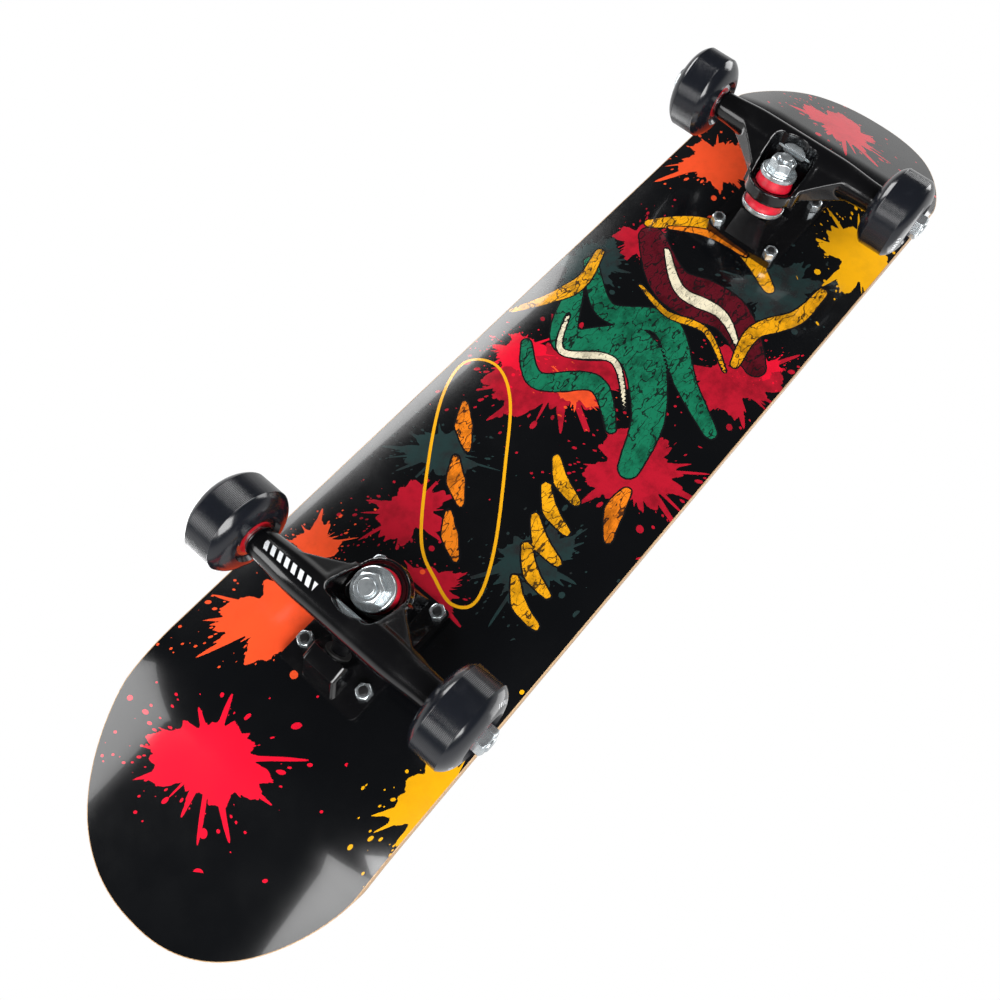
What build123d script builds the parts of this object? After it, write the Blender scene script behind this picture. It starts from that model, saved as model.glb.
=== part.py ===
from build123d import *
import math
import os

# A skateboard standing on its wheels.
# X runs along the board towards the nose, Y across it and Z up.
# The origin is on the ground under the middle of the deck. Lengths are in millimetres, angles in degrees.

# ---------------------------------------------------------------- deck
deck_length = 737.0
deck_width = 165.0
nose_overhang = 187.0         # bolt pattern centre to nose tip
tail_overhang = 182.0         # bolt pattern centre to tail tip
ply_count = 7
ply_thickness = 1.5
grip_thickness = 0.7
flat_width = 90.0             # flat middle of the cross-section
rail_rise = 4.5               # how far the rails curl up
kick_start = 66.0             # bolt pattern centre to the start of the bend
kick_radius = 88.0            # bend radius of the underside
kick_angle = 23.5
tip_power_along = 1.5         # roundness of the tips in plan
tip_power_across = 2.3
tip_points = 8                # spline points on each side of a tip

# ---------------------------------------------------------------- truck mounting
hole_spacing_along = 53.9
hole_spacing_across = 41.3
bolt_radius = 2.45
bolt_clearance = 0.30
bolt_head_radius = 4.65
bolt_stand_out = 0.8          # bolt end beyond its nut
bolt_end_bevel = 0.4
socket_radius = 1.9           # hexagon socket, centre to corner
socket_depth = 1.8
nut_width = 8.0               # across the flats
nut_height = 5.6
nut_bore_clearance = 0.02
nut_crown_slope = 1.6         # run of a nut's turned crown against its height

# ---------------------------------------------------------------- base plate, in the truck's own frame
plate_half_width = 26.0
plate_inboard = 31.5
plate_outboard = 41.5
plate_thickness = 6.0
plate_corner_radius = 3.0
boss_half_width = 13.0        # kingpin boss where it meets the plate
boss_inboard = 30.0
boss_outboard = 8.0
boss_top_half_width = 9.3
boss_top_reach = 8.5
boss_step = 3.0               # round seat above the boss's top
seat_radius = 8.2
housing_half_width = 11.0     # pivot housing
housing_reach = 41.0
housing_roof_reach = 34.5
housing_roof_height = 25.0
housing_foot = 14.0
housing_wall = 2.2
housing_edge_radius = 2.5

# ---------------------------------------------------------------- kingpin stack, along the kingpin
kingpin_tilt = 15.0
seat_inboard = 15.5
seat_drop = 26.2
kingpin_radius = 4.76
kingpin_bore_clearance = 0.04
kingpin_head_radius = 6.4
kingpin_head_clearance = 0.1
kingpin_head_height = 6.0
kingpin_head_bevel = 0.8
kingpin_end_bevel = 0.7
kingpin_head_depth = 13.0     # seat to the head's upper face
kingpin_stand_out = 1.6
kingpin_nut_width = 14.3
kingpin_nut_height = 7.0
washer_thickness = 1.5
washer_rim = 1.0              # wall of a cup washer's rim
washer_rim_height = 1.9
washer_fit = 0.12             # rim to bushing
washer_corner = 1.2
lower_bushing_radius = 12.5
lower_bushing_height = 11.5
lower_bushing_waist = 0.9
upper_bushing_radius = 11.7
upper_bushing_top_radius = 10.3
upper_bushing_height = 8.5
bushing_bore_clearance = 0.25

# ---------------------------------------------------------------- hanger
axle_drop = 54.0              # deck underside to axle
axle_offset = 9.0             # axle outboard of the bolt pattern's centre
axle_radius = 3.97
axle_length = 181.0
axle_bore_clearance = 0.02
axle_end_bevel = 0.6
hanger_length = 116.0
tube_radius = 10.0
tube_end_radius = 8.2
tube_straight = 26.0
tube_taper_middle = 0.72      # where the taper is half done, as a share of half the hanger
tube_end_bevel = 1.0
ring_wall = 3.4
ring_web = 4.0                # web between the two bushings
ring_lip_below = 2.5
ring_lip_above = 1.5
ring_hole_radius = 7.5
bushing_pocket_clearance = 0.4
steer_limit = 12.0            # how far the hanger turns each way
swing_clearance = 0.5         # top washer to the pocket at full turn
hood_wall = 3.0
hood_top_rise = 9.8           # hood above the axle's line
hood_shoulder_run = 6.0
hood_shoulder_rise = 8.0
hood_end_reach = 4.1          # kingpin axis to the hood's end over the ring
hood_lip = 1.0
hood_reach = 12.3             # kingpin axis to the pocket's wall at the axle
pocket_half_width = 15.0
pocket_corner = 5.0
web_spread = 50.0             # reach of the webs along the tube
web_waist_run = 14.4          # deepest point of the webs' hollow edge, inboard of the axle
web_waist_spread = 27.0
web_ring_overlap = 2.0
web_ring_inset = 0.6
web_ring_reach = 4.9
web_rise = 5.5                # web above and below the axle's line
web_fall = 8.5
web_upper_run = 8.0
web_lower_run = 5.0
yoke_axle_run = 2.0
yoke_axle_fall = 3.0
yoke_axle_radius = 8.0
yoke_ring_radius = 6.5
yoke_ring_share = 0.8         # where the lower strut ends, as a share of the ring's radius
yoke_oval = 1.35
yoke_root_margin = 0.8
yoke_gap = 4.5                # pivot cup to the struts

# ---------------------------------------------------------------- pivot
pivot_outboard = 27.0
pivot_drop = 17.0
pivot_radius = 4.5
pivot_fit = 0.05
pivot_tip_depth = 2.5
pivot_mouth = 6.5
pivot_neck_gap = 0.5
pivot_root_flare = 1.4
pivot_root_height = 4.0
pivot_tip_bevel = 1.0
cup_wall = 1.8
cup_floor = 1.3
cup_fit = 0.05
cup_lip = 0.8

# ---------------------------------------------------------------- wheels and bearings
wheel_radius = 24.0
wheel_width = 28.0
tread_width = 15.0
shoulder_radius = 13.6        # the conical faces' inner edge
core_radius = 12.4
face_dish = 2.4
shoulder_in = 0.38            # middle of the rounded face, as shares of its width and height
shoulder_up = 0.64
bearing_radius = 11.0
bearing_bore = 4.0
bearing_width = 7.0
bearing_gap = 10.0            # between a wheel's two bearings
seat_web_radius = 9.2
ball_count = 7
ball_radius = 1.984
ball_pitch_radius = 7.75
race_clearance = 0.02
shoulder_height = 0.55        # race shoulder beyond the groove's floor
cage_half_height = 0.8
cage_width = 5.2
cage_clearance = 0.12
shield_thickness = 0.4
shield_gap = 0.12
speed_washer_thickness = 1.0
speed_washer_radius = 6.2
axle_nut_width = 12.7
axle_nut_height = 5.6
spacer_radius = 6.0

# ---------------------------------------------------------------- derived places
deck_thickness = ply_count * ply_thickness
deck_half_width = deck_width / 2
flat_half_width = flat_width / 2
rail_reach = deck_half_width - flat_half_width
rail_radius = (rail_reach ** 2 + rail_rise ** 2) / (2 * rail_rise)
deck_bottom = axle_drop + wheel_radius
front_truck_x = deck_length / 2 - nose_overhang
rear_truck_x = tail_overhang - deck_length / 2
kick_run = kick_radius * math.sin(math.radians(kick_angle))

bearing_reach = bearing_gap / 2 + bearing_width
hanger_face = hanger_length / 2
wheel_centre = hanger_face + speed_washer_thickness + bearing_reach
nut_seat = wheel_centre + bearing_reach + speed_washer_thickness

lower_bushing_base = washer_thickness
web_base = lower_bushing_base + lower_bushing_height
web_top = web_base + ring_web
upper_bushing_top = web_top + upper_bushing_height
kingpin_nut_base = upper_bushing_top + washer_thickness
kingpin_end = kingpin_nut_base + kingpin_nut_height + kingpin_stand_out
ring_pocket_radius = lower_bushing_radius + bushing_pocket_clearance
ring_radius = ring_pocket_radius + ring_wall
top_washer_radius = upper_bushing_top_radius + washer_fit + washer_rim
washer_swing = (kingpin_nut_base - (web_base + web_top) / 2) * math.sin(math.radians(steer_limit))
pocket_radius = top_washer_radius + washer_swing + swing_clearance
ring_base = web_base - ring_lip_below
ring_top = web_top + ring_lip_above
cup_radius = pivot_radius + pivot_fit + cup_wall
cup_bottom = -(pivot_tip_depth + pivot_fit + cup_floor)

# The truck's own frame has its origin in the middle of the bolt pattern on the deck's underside,
# X inboard and Z away from the deck.
front_place = Location((front_truck_x, 0, deck_bottom), (0, 180, 0))
rear_place = Location((rear_truck_x, 0, deck_bottom), (180, 0, 0))

tilt = math.radians(kingpin_tilt)
kingpin_frame = Plane(
    origin=(seat_inboard, 0, seat_drop),
    x_dir=(math.cos(tilt), 0, math.sin(tilt)),
    z_dir=(-math.sin(tilt), 0, math.cos(tilt)),
)
ring_centre = kingpin_frame.from_local_coords(Vector(0, 0, (web_base + web_top) / 2))
steer_angle = math.atan2(ring_centre.Z - pivot_drop, ring_centre.X + pivot_outboard)
steer_frame = Plane(
    origin=(-pivot_outboard, 0, pivot_drop),
    x_dir=(-math.sin(steer_angle), 0, math.cos(steer_angle)),
    z_dir=(math.cos(steer_angle), 0, math.sin(steer_angle)),
)


# ---------------------------------------------------------------- helpers
def turned(points):
    """Solid of revolution about Z from (radius, height) points."""
    profile = Plane.XZ * make_face(Polyline(*points, close=True))
    return revolve(profile, Axis.Z)


def tube(outer, inner, low, high):
    return turned([(inner, low), (outer, low), (outer, high), (inner, high)])


def side_prism(points, half_width):
    """Outline in the truck's X-Z plane, made solid to both sides."""
    outline = Plane.XZ * make_face(Polyline(*points, close=True))
    return extrude(outline, half_width, both=True)


def across(shape, y, outwards=1):
    """Turn a shape made about Z onto the axle's line, its +Z pointing out to the side given."""
    return Location((-axle_offset, y, axle_drop), (-90 * outwards, 0, 0)) * shape


def kingpin_local(shape):
    return kingpin_frame.location * shape


def steer_local(shape):
    return steer_frame.location * shape


def bolt_places():
    for along in (-0.5, 0.5):
        for sideways in (-0.5, 0.5):
            yield along * hole_spacing_along, sideways * hole_spacing_across


def hexagon_nut(width, height, bore):
    """Hexagon nut standing on Z = 0 with its corners turned off."""
    corner_radius = width / math.sqrt(3)
    body = extrude(RegularPolygon(corner_radius, 6), height)
    bevel = corner_radius - width / 2
    crown = turned([(0, 0), (corner_radius, 0), (corner_radius, height - bevel),
                    (corner_radius - nut_crown_slope * bevel, height), (0, height)])
    return (body & crown) - Cylinder(bore, 3 * height)


def save(name, shape):
    solids = shape.solids()
    if len(solids) == 1:
        export_step(solids[0], f"parts/{name}.step")
    else:
        export_step(Compound(solids), f"parts/{name}.step")


# ---------------------------------------------------------------- deck
def layer_height(y, level):
    """Height at y of the surface lying `level` above the underside."""
    reach = max(abs(y) - flat_half_width, 0.0)
    return rail_radius - math.sqrt((rail_radius - level) ** 2 - reach ** 2)


def rail_arc(side, level):
    ys = (flat_half_width, flat_half_width + rail_reach / 2, deck_half_width)
    points = [(side * y, layer_height(y, level)) for y in ys]
    return ThreePointArc(*points)


def layer_section(low, high):
    """Cross-section of one layer, drawn as (across, height)."""
    edges = []
    for side in (-1, 1):
        edges.append(rail_arc(side, low))
        edges.append(rail_arc(side, high))
        rail = side * deck_half_width
        edges.append(Line((rail, layer_height(rail, low)), (rail, layer_height(rail, high))))
    for level in (low, high):
        edges.append(Line((-flat_half_width, level), (flat_half_width, level)))
    return make_face(edges)


def tip_outline(kick_length):
    """Plan of a kick in its own plane, from the bend to the rounded tip."""
    side = []
    for step in range(tip_points + 1):
        turn = math.radians(90 * step / tip_points)
        along = kick_length * math.sin(turn) ** (2 / tip_power_along)
        sideways = deck_half_width * math.cos(turn) ** (2 / tip_power_across)
        side.append((along, sideways))
    points = side[:-1] + [(kick_length, 0)] + [(x, -y) for x, y in reversed(side[:-1])]
    curve = Spline(points, tangents=[(1, 0), (-1, 0)])
    return make_face([curve, Line(points[-1], points[0])])


def deck_end(low, high, overhang):
    """Bend and kick of one layer; the bend starts at X = 0 and the tip points to +X."""
    section = Plane.YZ * layer_section(low, high)
    bend_axis = Axis((0, 0, kick_radius), (0, -1, 0))
    bend = revolve(section, bend_axis, kick_angle)
    slope = math.radians(kick_angle)
    kick_length = (overhang - kick_start - kick_run) / math.cos(slope)
    straight = extrude(section, kick_length)
    plan = extrude(tip_outline(kick_length), deck_thickness + rail_rise + grip_thickness + 1)
    kick = straight & (Location((0, 0, -0.5)) * plan)
    return bend + kick.rotate(bend_axis, kick_angle)


def deck_layer(low, high):
    """One full layer of the deck between two levels above its underside."""
    nose_bend = front_truck_x + kick_start
    tail_bend = rear_truck_x - kick_start
    section = Plane.YZ * layer_section(low, high)
    middle = Location((tail_bend, 0, 0)) * extrude(section, nose_bend - tail_bend)
    nose = Location((nose_bend, 0, 0)) * deck_end(low, high, nose_overhang)
    tail = Location((tail_bend, 0, 0), (0, 0, 180)) * deck_end(low, high, tail_overhang)
    layer = Location((0, 0, deck_bottom)) * (middle + nose + tail)
    for truck_x in (front_truck_x, rear_truck_x):
        for x, y in bolt_places():
            place = Location((truck_x + x, y, deck_bottom))
            layer -= place * Cylinder(bolt_radius + bolt_clearance, 4 * deck_thickness)
            layer -= place * countersink(bolt_clearance)
    return layer


def countersink(clearance):
    """Cone under a bolt's head; its top is level with the grip tape."""
    top = deck_thickness + grip_thickness
    depth = bolt_head_radius - bolt_radius
    radius = bolt_radius + clearance
    head = bolt_head_radius + clearance
    return turned([(0, top - depth - 0.001), (radius, top - depth - 0.001), (head, top), (0, top)])


def mounting_hardware():
    """Four bolts and four nuts in the truck's frame, with the bolts' heads in the top of the deck."""
    head_top = -deck_thickness - grip_thickness
    head_base = head_top + bolt_head_radius - bolt_radius
    end = plate_thickness + nut_height + bolt_stand_out
    bolt = turned([(0, head_top), (bolt_head_radius, head_top), (bolt_radius, head_base),
                   (bolt_radius, end - bolt_end_bevel), (bolt_radius - bolt_end_bevel, end), (0, end)])
    socket = Location((0, 0, head_top)) * extrude(RegularPolygon(socket_radius, 6), socket_depth)
    bolt -= socket
    nut = hexagon_nut(nut_width, nut_height, bolt_radius + nut_bore_clearance)
    nut = Location((0, 0, plate_thickness)) * nut
    bolts = [Location((x, y, 0)) * bolt for x, y in bolt_places()]
    nuts = [Location((x, y, 0)) * nut for x, y in bolt_places()]
    return Compound(bolts), Compound(nuts)


# ---------------------------------------------------------------- base plate
def kingpin_boss():
    """Sloping block that carries the kingpin."""
    foot_length = boss_inboard + boss_outboard
    foot = Location(((boss_inboard - boss_outboard) / 2, 0, plate_thickness - 1))
    top = kingpin_frame.location * Location((0, 0, -boss_step))
    sections = [
        foot * Rectangle(foot_length, 2 * boss_half_width),
        top * Rectangle(2 * boss_top_reach, 2 * boss_top_half_width),
    ]
    seat = Location((0, 0, -boss_step / 2)) * Cylinder(seat_radius, boss_step)
    return loft(sections) + kingpin_local(seat)


def pivot_housing():
    """Block with a sloping mouth for the pivot cup."""
    mouth_half = cup_radius + cup_fit + housing_wall
    across_mouth = steer_frame.location * Location((0, 0, pivot_mouth))
    high = across_mouth * Location((mouth_half, 0, 0))
    low = across_mouth * Location((-mouth_half, 0, 0))
    base = plate_thickness - 1
    outline = [
        (-housing_reach, base),
        (-housing_roof_reach, housing_roof_height),
        (high.position.X, high.position.Z),
        (low.position.X, low.position.Z),
        (-housing_foot, base),
    ]
    block = side_prism(outline, housing_half_width)
    roof_middle = (high.position.X - housing_roof_reach) / 2
    sharp = []
    for edge in block.edges():
        place = edge.center()
        on_side = abs(place.Y) > housing_half_width - 0.01
        if on_side and place.Z > plate_thickness and place.X < roof_middle + 0.01:
            sharp.append(edge)
    return fillet(sharp, housing_edge_radius)


def base_plate():
    length = plate_inboard + plate_outboard
    centre = (plate_inboard - plate_outboard) / 2
    outline = RectangleRounded(length, 2 * plate_half_width, plate_corner_radius)
    plate = Location((centre, 0, 0)) * extrude(outline, plate_thickness)
    body = plate + kingpin_boss() + pivot_housing()
    below = seat_drop + kingpin_head_depth
    bore = Cylinder(kingpin_radius + kingpin_bore_clearance, 4 * seat_drop)
    pocket = Cylinder(kingpin_head_radius + kingpin_head_clearance, below)
    pocket = Location((0, 0, -kingpin_head_depth - below / 2)) * pocket
    body -= kingpin_local(bore)
    body -= kingpin_local(pocket)
    cup_bore = tube(cup_radius + cup_fit, 0, cup_bottom, pivot_mouth + cup_radius)
    body -= steer_local(cup_bore)
    for x, y in bolt_places():
        body -= Location((x, y, 0)) * Cylinder(bolt_radius + bolt_clearance, 3 * plate_thickness)
    return body


def pivot_cup():
    inner = pivot_radius + pivot_fit
    lip = cup_radius + cup_lip
    floor = cup_bottom + cup_floor
    return steer_local(turned([
        (0, cup_bottom), (cup_radius, cup_bottom), (cup_radius, pivot_mouth), (lip, pivot_mouth),
        (lip, pivot_mouth + cup_lip), (inner, pivot_mouth + cup_lip), (inner, floor), (0, floor),
    ]))


# ---------------------------------------------------------------- kingpin stack
def kingpin():
    head_top = -kingpin_head_depth
    head_base = head_top - kingpin_head_height
    end = kingpin_end
    return kingpin_local(turned([
        (0, head_base), (kingpin_head_radius - kingpin_head_bevel, head_base),
        (kingpin_head_radius, head_base + kingpin_head_bevel),
        (kingpin_head_radius, head_top), (kingpin_radius, head_top),
        (kingpin_radius, end - kingpin_end_bevel), (kingpin_radius - kingpin_end_bevel, end), (0, end),
    ]))


def kingpin_nut():
    nut = hexagon_nut(kingpin_nut_width, kingpin_nut_height, kingpin_radius + nut_bore_clearance)
    return kingpin_local(Location((0, 0, kingpin_nut_base)) * nut)


def cup_washer(base, cupped_radius, upwards):
    """Washer with a rounded rim that holds a bushing's end; upwards is +1 or -1."""
    inner = kingpin_radius + bushing_bore_clearance
    held = cupped_radius + washer_fit
    outer = held + washer_rim
    rim = washer_thickness + washer_rim_height
    washer = turned([
        (inner, 0), (outer - washer_corner, 0), (outer - washer_corner / 4, washer_corner / 4),
        (outer, washer_corner),
        (outer, rim), (held, rim), (held, washer_thickness), (inner, washer_thickness),
    ])
    facing = Location((0, 0, base)) if upwards > 0 else Location((0, 0, base), (180, 0, 0))
    return kingpin_local(facing * washer)


def lower_bushing():
    """Barrel bushing with a slight waist."""
    inner = kingpin_radius + bushing_bore_clearance
    middle = lower_bushing_base + lower_bushing_height / 2
    wall = ThreePointArc(
        (lower_bushing_radius, web_base - ring_lip_below),
        (lower_bushing_radius - lower_bushing_waist, middle - ring_lip_below / 2),
        (lower_bushing_radius, lower_bushing_base + washer_rim_height),
    )
    rest = Polyline(
        (lower_bushing_radius, lower_bushing_base + washer_rim_height),
        (lower_bushing_radius, lower_bushing_base), (inner, lower_bushing_base),
        (inner, web_base), (lower_bushing_radius, web_base),
        (lower_bushing_radius, web_base - ring_lip_below),
    )
    return kingpin_local(revolve(Plane.XZ * make_face([wall, rest]), Axis.Z))


def upper_bushing():
    inner = kingpin_radius + bushing_bore_clearance
    shoulder = upper_bushing_top - washer_rim_height
    return kingpin_local(turned([
        (inner, web_top), (upper_bushing_radius, web_top), (upper_bushing_radius, web_top + ring_lip_above),
        (upper_bushing_top_radius, shoulder), (upper_bushing_top_radius, upper_bushing_top),
        (inner, upper_bushing_top),
    ]))


# ---------------------------------------------------------------- hanger
def ring_point(reach, height):
    """Point in the truck's X-Z plane, measured out from the kingpin and along it."""
    point = kingpin_frame.from_local_coords(Vector(reach, 0, height))
    return point.X, point.Z


def axle_tube():
    """Tapered tube along the axle."""
    half = hanger_length / 2
    taper_middle = ((tube_radius + tube_end_radius) / 2, half * tube_taper_middle)
    taper_end = (tube_end_radius, half - tube_end_bevel)
    taper = Spline([(tube_radius, tube_straight), taper_middle, taper_end], tangents=[(0, 1), (0, 1)])
    rest = Polyline(taper_end, (tube_end_radius - tube_end_bevel, half), (0, half),
                    (0, 0), (tube_radius, 0), (tube_radius, tube_straight))
    side = revolve(Plane.XZ * make_face([taper, rest]), Axis.Z)
    return across(side, 0, 1) + across(side, 0, -1)


def web_plan():
    """Plan of the webs that flare from the ring out to the ends of the tube."""
    end_x = ring_centre.X + web_ring_overlap
    end_y = ring_radius - web_ring_inset
    waist_x = web_waist_run - axle_offset
    edges = []
    for side in (-1, 1):
        edges.append(ThreePointArc((-axle_offset, side * web_spread), (waist_x, side * web_waist_spread),
                                   (end_x, side * end_y)))
    edges.append(Line((-axle_offset, -web_spread), (-axle_offset, web_spread)))
    edges.append(Line((end_x, -end_y), (end_x, end_y)))
    return make_face(edges)


def web():
    """Flat webs that join the ring to the tube."""
    top = axle_drop + web_rise
    low = axle_drop - web_fall
    outline = [
        (-axle_offset, low), (-axle_offset, top), (web_upper_run - axle_offset, top),
        ring_point(web_ring_reach, ring_top), ring_point(web_ring_reach, ring_base),
        (web_lower_run - axle_offset, low),
    ]
    plan = Location((0, 0, ring_centre.Z - 2 * ring_radius)) * extrude(web_plan(), 4 * ring_radius)
    return side_prism(outline, web_spread) & plan


def hood():
    """Raised walls around the kingpin nut's pocket."""
    outline = [
        (-axle_offset, axle_drop), (-axle_offset, axle_drop + hood_top_rise),
        (hood_shoulder_run - axle_offset, axle_drop + hood_shoulder_rise),
        ring_point(hood_end_reach, ring_top + hood_lip), ring_point(hood_end_reach, ring_base),
        ring_point(-ring_radius, ring_base),
    ]
    return side_prism(outline, pocket_half_width + hood_wall)


def nut_pocket():
    """Pocket over the upper bushing: round towards the ring, square towards the axle."""
    wide_length = 3 * pocket_corner
    wide = RectangleRounded(wide_length, 2 * pocket_half_width, pocket_corner)
    outline = Location((wide_length / 2 - hood_reach, 0)) * wide + Circle(pocket_radius)
    return Location((0, 0, web_top)) * extrude(outline, 4 * ring_radius)


def yoke():
    """Struts from the pivot nose up to the tube and to the ring."""
    root = steer_frame.from_local_coords(Vector(0, 0, pivot_mouth + cup_lip + yoke_gap))
    ring_x, ring_z = ring_point(-ring_radius * yoke_ring_share, (ring_base + ring_top) / 2)
    at_axle = Vector(yoke_axle_run - axle_offset, 0, axle_drop - yoke_axle_fall)
    at_ring = Vector(ring_x, 0, ring_z)
    struts = []
    for end, radius in ((at_axle, yoke_axle_radius), (at_ring, yoke_ring_radius)):
        path = end - root
        start = Plane(origin=root, z_dir=path, x_dir=(0, 1, 0))
        finish = Plane(origin=end, z_dir=path, x_dir=(0, 1, 0))
        narrow = start * Circle(pivot_radius + yoke_root_margin)
        struts.append(loft([narrow, finish * Ellipse(yoke_oval * radius, radius)]))
    return struts[0] + struts[1]


def pivot_nose():
    """Round nose that turns in the pivot cup."""
    tip = -pivot_tip_depth
    neck = pivot_mouth + cup_lip + pivot_neck_gap
    root = neck + yoke_gap
    root_radius = pivot_radius + pivot_root_flare
    return steer_local(turned([
        (0, tip), (pivot_radius - pivot_tip_bevel, tip), (pivot_radius, tip + pivot_tip_bevel),
        (pivot_radius, neck), (root_radius, root), (root_radius, root + pivot_root_height),
        (0, root + pivot_root_height),
    ]))


def hanger():
    ring = Location((0, 0, (ring_base + ring_top) / 2)) * Cylinder(ring_radius, ring_top - ring_base)
    body = axle_tube() + web() + kingpin_local(ring) + hood() + yoke() + pivot_nose()
    body -= kingpin_local(tube(ring_pocket_radius, 0, ring_base - ring_wall, web_base))
    body -= kingpin_local(nut_pocket())
    body -= kingpin_local(Cylinder(ring_hole_radius, 6 * ring_radius))
    body -= across(Cylinder(axle_radius + axle_bore_clearance, 2 * hanger_length), 0)
    return body


# ---------------------------------------------------------------- axle, washers and nuts
def axle():
    half = axle_length / 2
    end_radius = axle_radius - axle_end_bevel
    rod = turned([(0, -half), (end_radius, -half), (axle_radius, axle_end_bevel - half),
                  (axle_radius, half - axle_end_bevel), (end_radius, half), (0, half)])
    return across(rod, 0)


def both_ends(make_end):
    """Compound of the solids that make_end gives for each end of the axle."""
    solids = []
    for side in (-1, 1):
        solids.extend(make_end(side))
    return Compound(solids)


def axle_nut_at(side):
    nut = hexagon_nut(axle_nut_width, axle_nut_height, axle_radius + nut_bore_clearance)
    return [across(nut, side * nut_seat, side)]


def speed_washers_at(side):
    washer = tube(speed_washer_radius, bearing_bore, 0, speed_washer_thickness)
    places = (hanger_face, nut_seat - speed_washer_thickness)
    return [across(washer, side * place, side) for place in places]


def inner_ring():
    """Inner bearing ring centred on Z = 0, with its ball groove."""
    groove = ball_pitch_radius - ball_radius - race_clearance
    half = bearing_width / 2
    ring = tube(groove + shoulder_height, bearing_bore, -half, half)
    return ring - Torus(ball_pitch_radius, ball_radius + race_clearance)


def outer_ring():
    groove = ball_pitch_radius + ball_radius + race_clearance
    half = bearing_width / 2
    ring = tube(bearing_radius, groove - shoulder_height, -half, half)
    return ring - Torus(ball_pitch_radius, ball_radius + race_clearance)


def bearing_offsets():
    """Places of a wheel's two bearings from its middle."""
    offset = (bearing_gap + bearing_width) / 2
    return [-offset, offset]


def inner_rings_at(side):
    return [across(inner_ring(), side * (wheel_centre + offset)) for offset in bearing_offsets()]


def spacer_at(side):
    spacer = tube(spacer_radius, bearing_bore, -bearing_gap / 2, bearing_gap / 2)
    return [across(spacer, side * wheel_centre)]


# ---------------------------------------------------------------- wheels
def tyre():
    """Wheel casting centred on Z = 0: flat tread, round shoulders, dished faces."""
    half = wheel_width / 2
    flat = tread_width / 2
    lip = bearing_gap / 2
    bulge_radius = wheel_radius - shoulder_in * (wheel_radius - shoulder_radius)
    bulge_height = flat + shoulder_up * (half - flat)
    shoulder = ThreePointArc((wheel_radius, flat), (bulge_radius, bulge_height), (shoulder_radius, half))
    bottom = ThreePointArc((shoulder_radius, -half), (bulge_radius, -bulge_height), (wheel_radius, -flat))
    dish = half - face_dish
    rest = [
        Line((wheel_radius, -flat), (wheel_radius, flat)),
        Polyline((shoulder_radius, half), (core_radius, dish), (bearing_radius, dish),
                 (bearing_radius, lip), (seat_web_radius, lip), (seat_web_radius, -lip),
                 (bearing_radius, -lip), (bearing_radius, -dish), (core_radius, -dish),
                 (shoulder_radius, -half)),
    ]
    return revolve(Plane.XZ * make_face([shoulder, bottom, *rest]), Axis.Z)


def shields():
    """Shields on both faces of both bearings."""
    inner = ball_pitch_radius - ball_radius - race_clearance + shoulder_height + shield_gap
    outer = ball_pitch_radius + ball_radius + race_clearance - shoulder_height
    solids = []
    for centre in bearing_offsets():
        for face in (-1, 1):
            middle = centre + face * (bearing_width - shield_thickness) / 2
            solids.append(tube(outer, inner, middle - shield_thickness / 2, middle + shield_thickness / 2))
    return solids


def balls():
    solids = []
    for centre in bearing_offsets():
        for index in range(ball_count):
            turn = math.radians(360 * index / ball_count)
            place = (ball_pitch_radius * math.cos(turn), ball_pitch_radius * math.sin(turn), centre)
            solids.append(Location(place) * Sphere(ball_radius))
    return solids


def cages():
    """Ribbon cages: a ring with a round pocket for each ball."""
    solids = []
    for centre in bearing_offsets():
        outer = ball_pitch_radius + cage_half_height
        inner = ball_pitch_radius - cage_half_height
        ring = tube(outer, inner, -cage_width / 2, cage_width / 2)
        for index in range(ball_count):
            pocket = Cylinder(ball_radius + cage_clearance, 4 * cage_half_height)
            pocket = Location((ball_pitch_radius, 0, 0), (0, 90, 0)) * pocket
            ring -= pocket.rotate(Axis.Z, 360 * index / ball_count)
        solids.append(Location((0, 0, centre)) * ring)
    return solids


# ---------------------------------------------------------------- output
os.makedirs("parts", exist_ok=True)

for ply in range(ply_count):
    low = ply * ply_thickness
    save(f"deck_ply_{ply + 1}", deck_layer(low, low + ply_thickness))
save("grip_tape", deck_layer(deck_thickness, deck_thickness + grip_thickness))

bolt_set, nut_set = mounting_hardware()
truck_pieces = {
    "mounting_bolts": bolt_set,
    "mounting_nuts": nut_set,
    "baseplate": base_plate(),
    "pivot_cup": pivot_cup(),
    "kingpin": kingpin(),
    "kingpin_nut": kingpin_nut(),
    "bottom_washer": cup_washer(0, lower_bushing_radius, 1),
    "lower_bushing": lower_bushing(),
    "upper_bushing": upper_bushing(),
    "top_washer": cup_washer(kingpin_nut_base, upper_bushing_top_radius, -1),
    "hanger": hanger(),
    "axle": axle(),
    "axle_nuts": both_ends(axle_nut_at),
    "speed_washers": both_ends(speed_washers_at),
    "inner_rings": both_ends(inner_rings_at),
    "bearing_spacers": both_ends(spacer_at),
}
wheel_pieces = {
    "wheel": tyre(),
    "outer_rings": Compound([Location((0, 0, place)) * outer_ring() for place in bearing_offsets()]),
    "bearing_shields": Compound(shields()),
    "balls": Compound(balls()),
    "ball_cages": Compound(cages()),
}
for end, place in (("front", front_place), ("rear", rear_place)):
    for name, shape in truck_pieces.items():
        save(f"{end}_{name}", place * shape)
    for side_name, side in (("left", 1), ("right", -1)):
        # Left is +Y in the board's frame; the rear truck's frame is turned over across the board.
        local_side = side if end == "front" else -side
        for name, shape in wheel_pieces.items():
            save(f"{end}_{side_name}_{name}", place * across(shape, local_side * wheel_centre, local_side))
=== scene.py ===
import logging
import math
from dataclasses import dataclass, field
from enum import Enum
from typing import Optional, Sequence

import bpy
import numpy as np
from mathutils import Matrix, Vector


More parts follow.
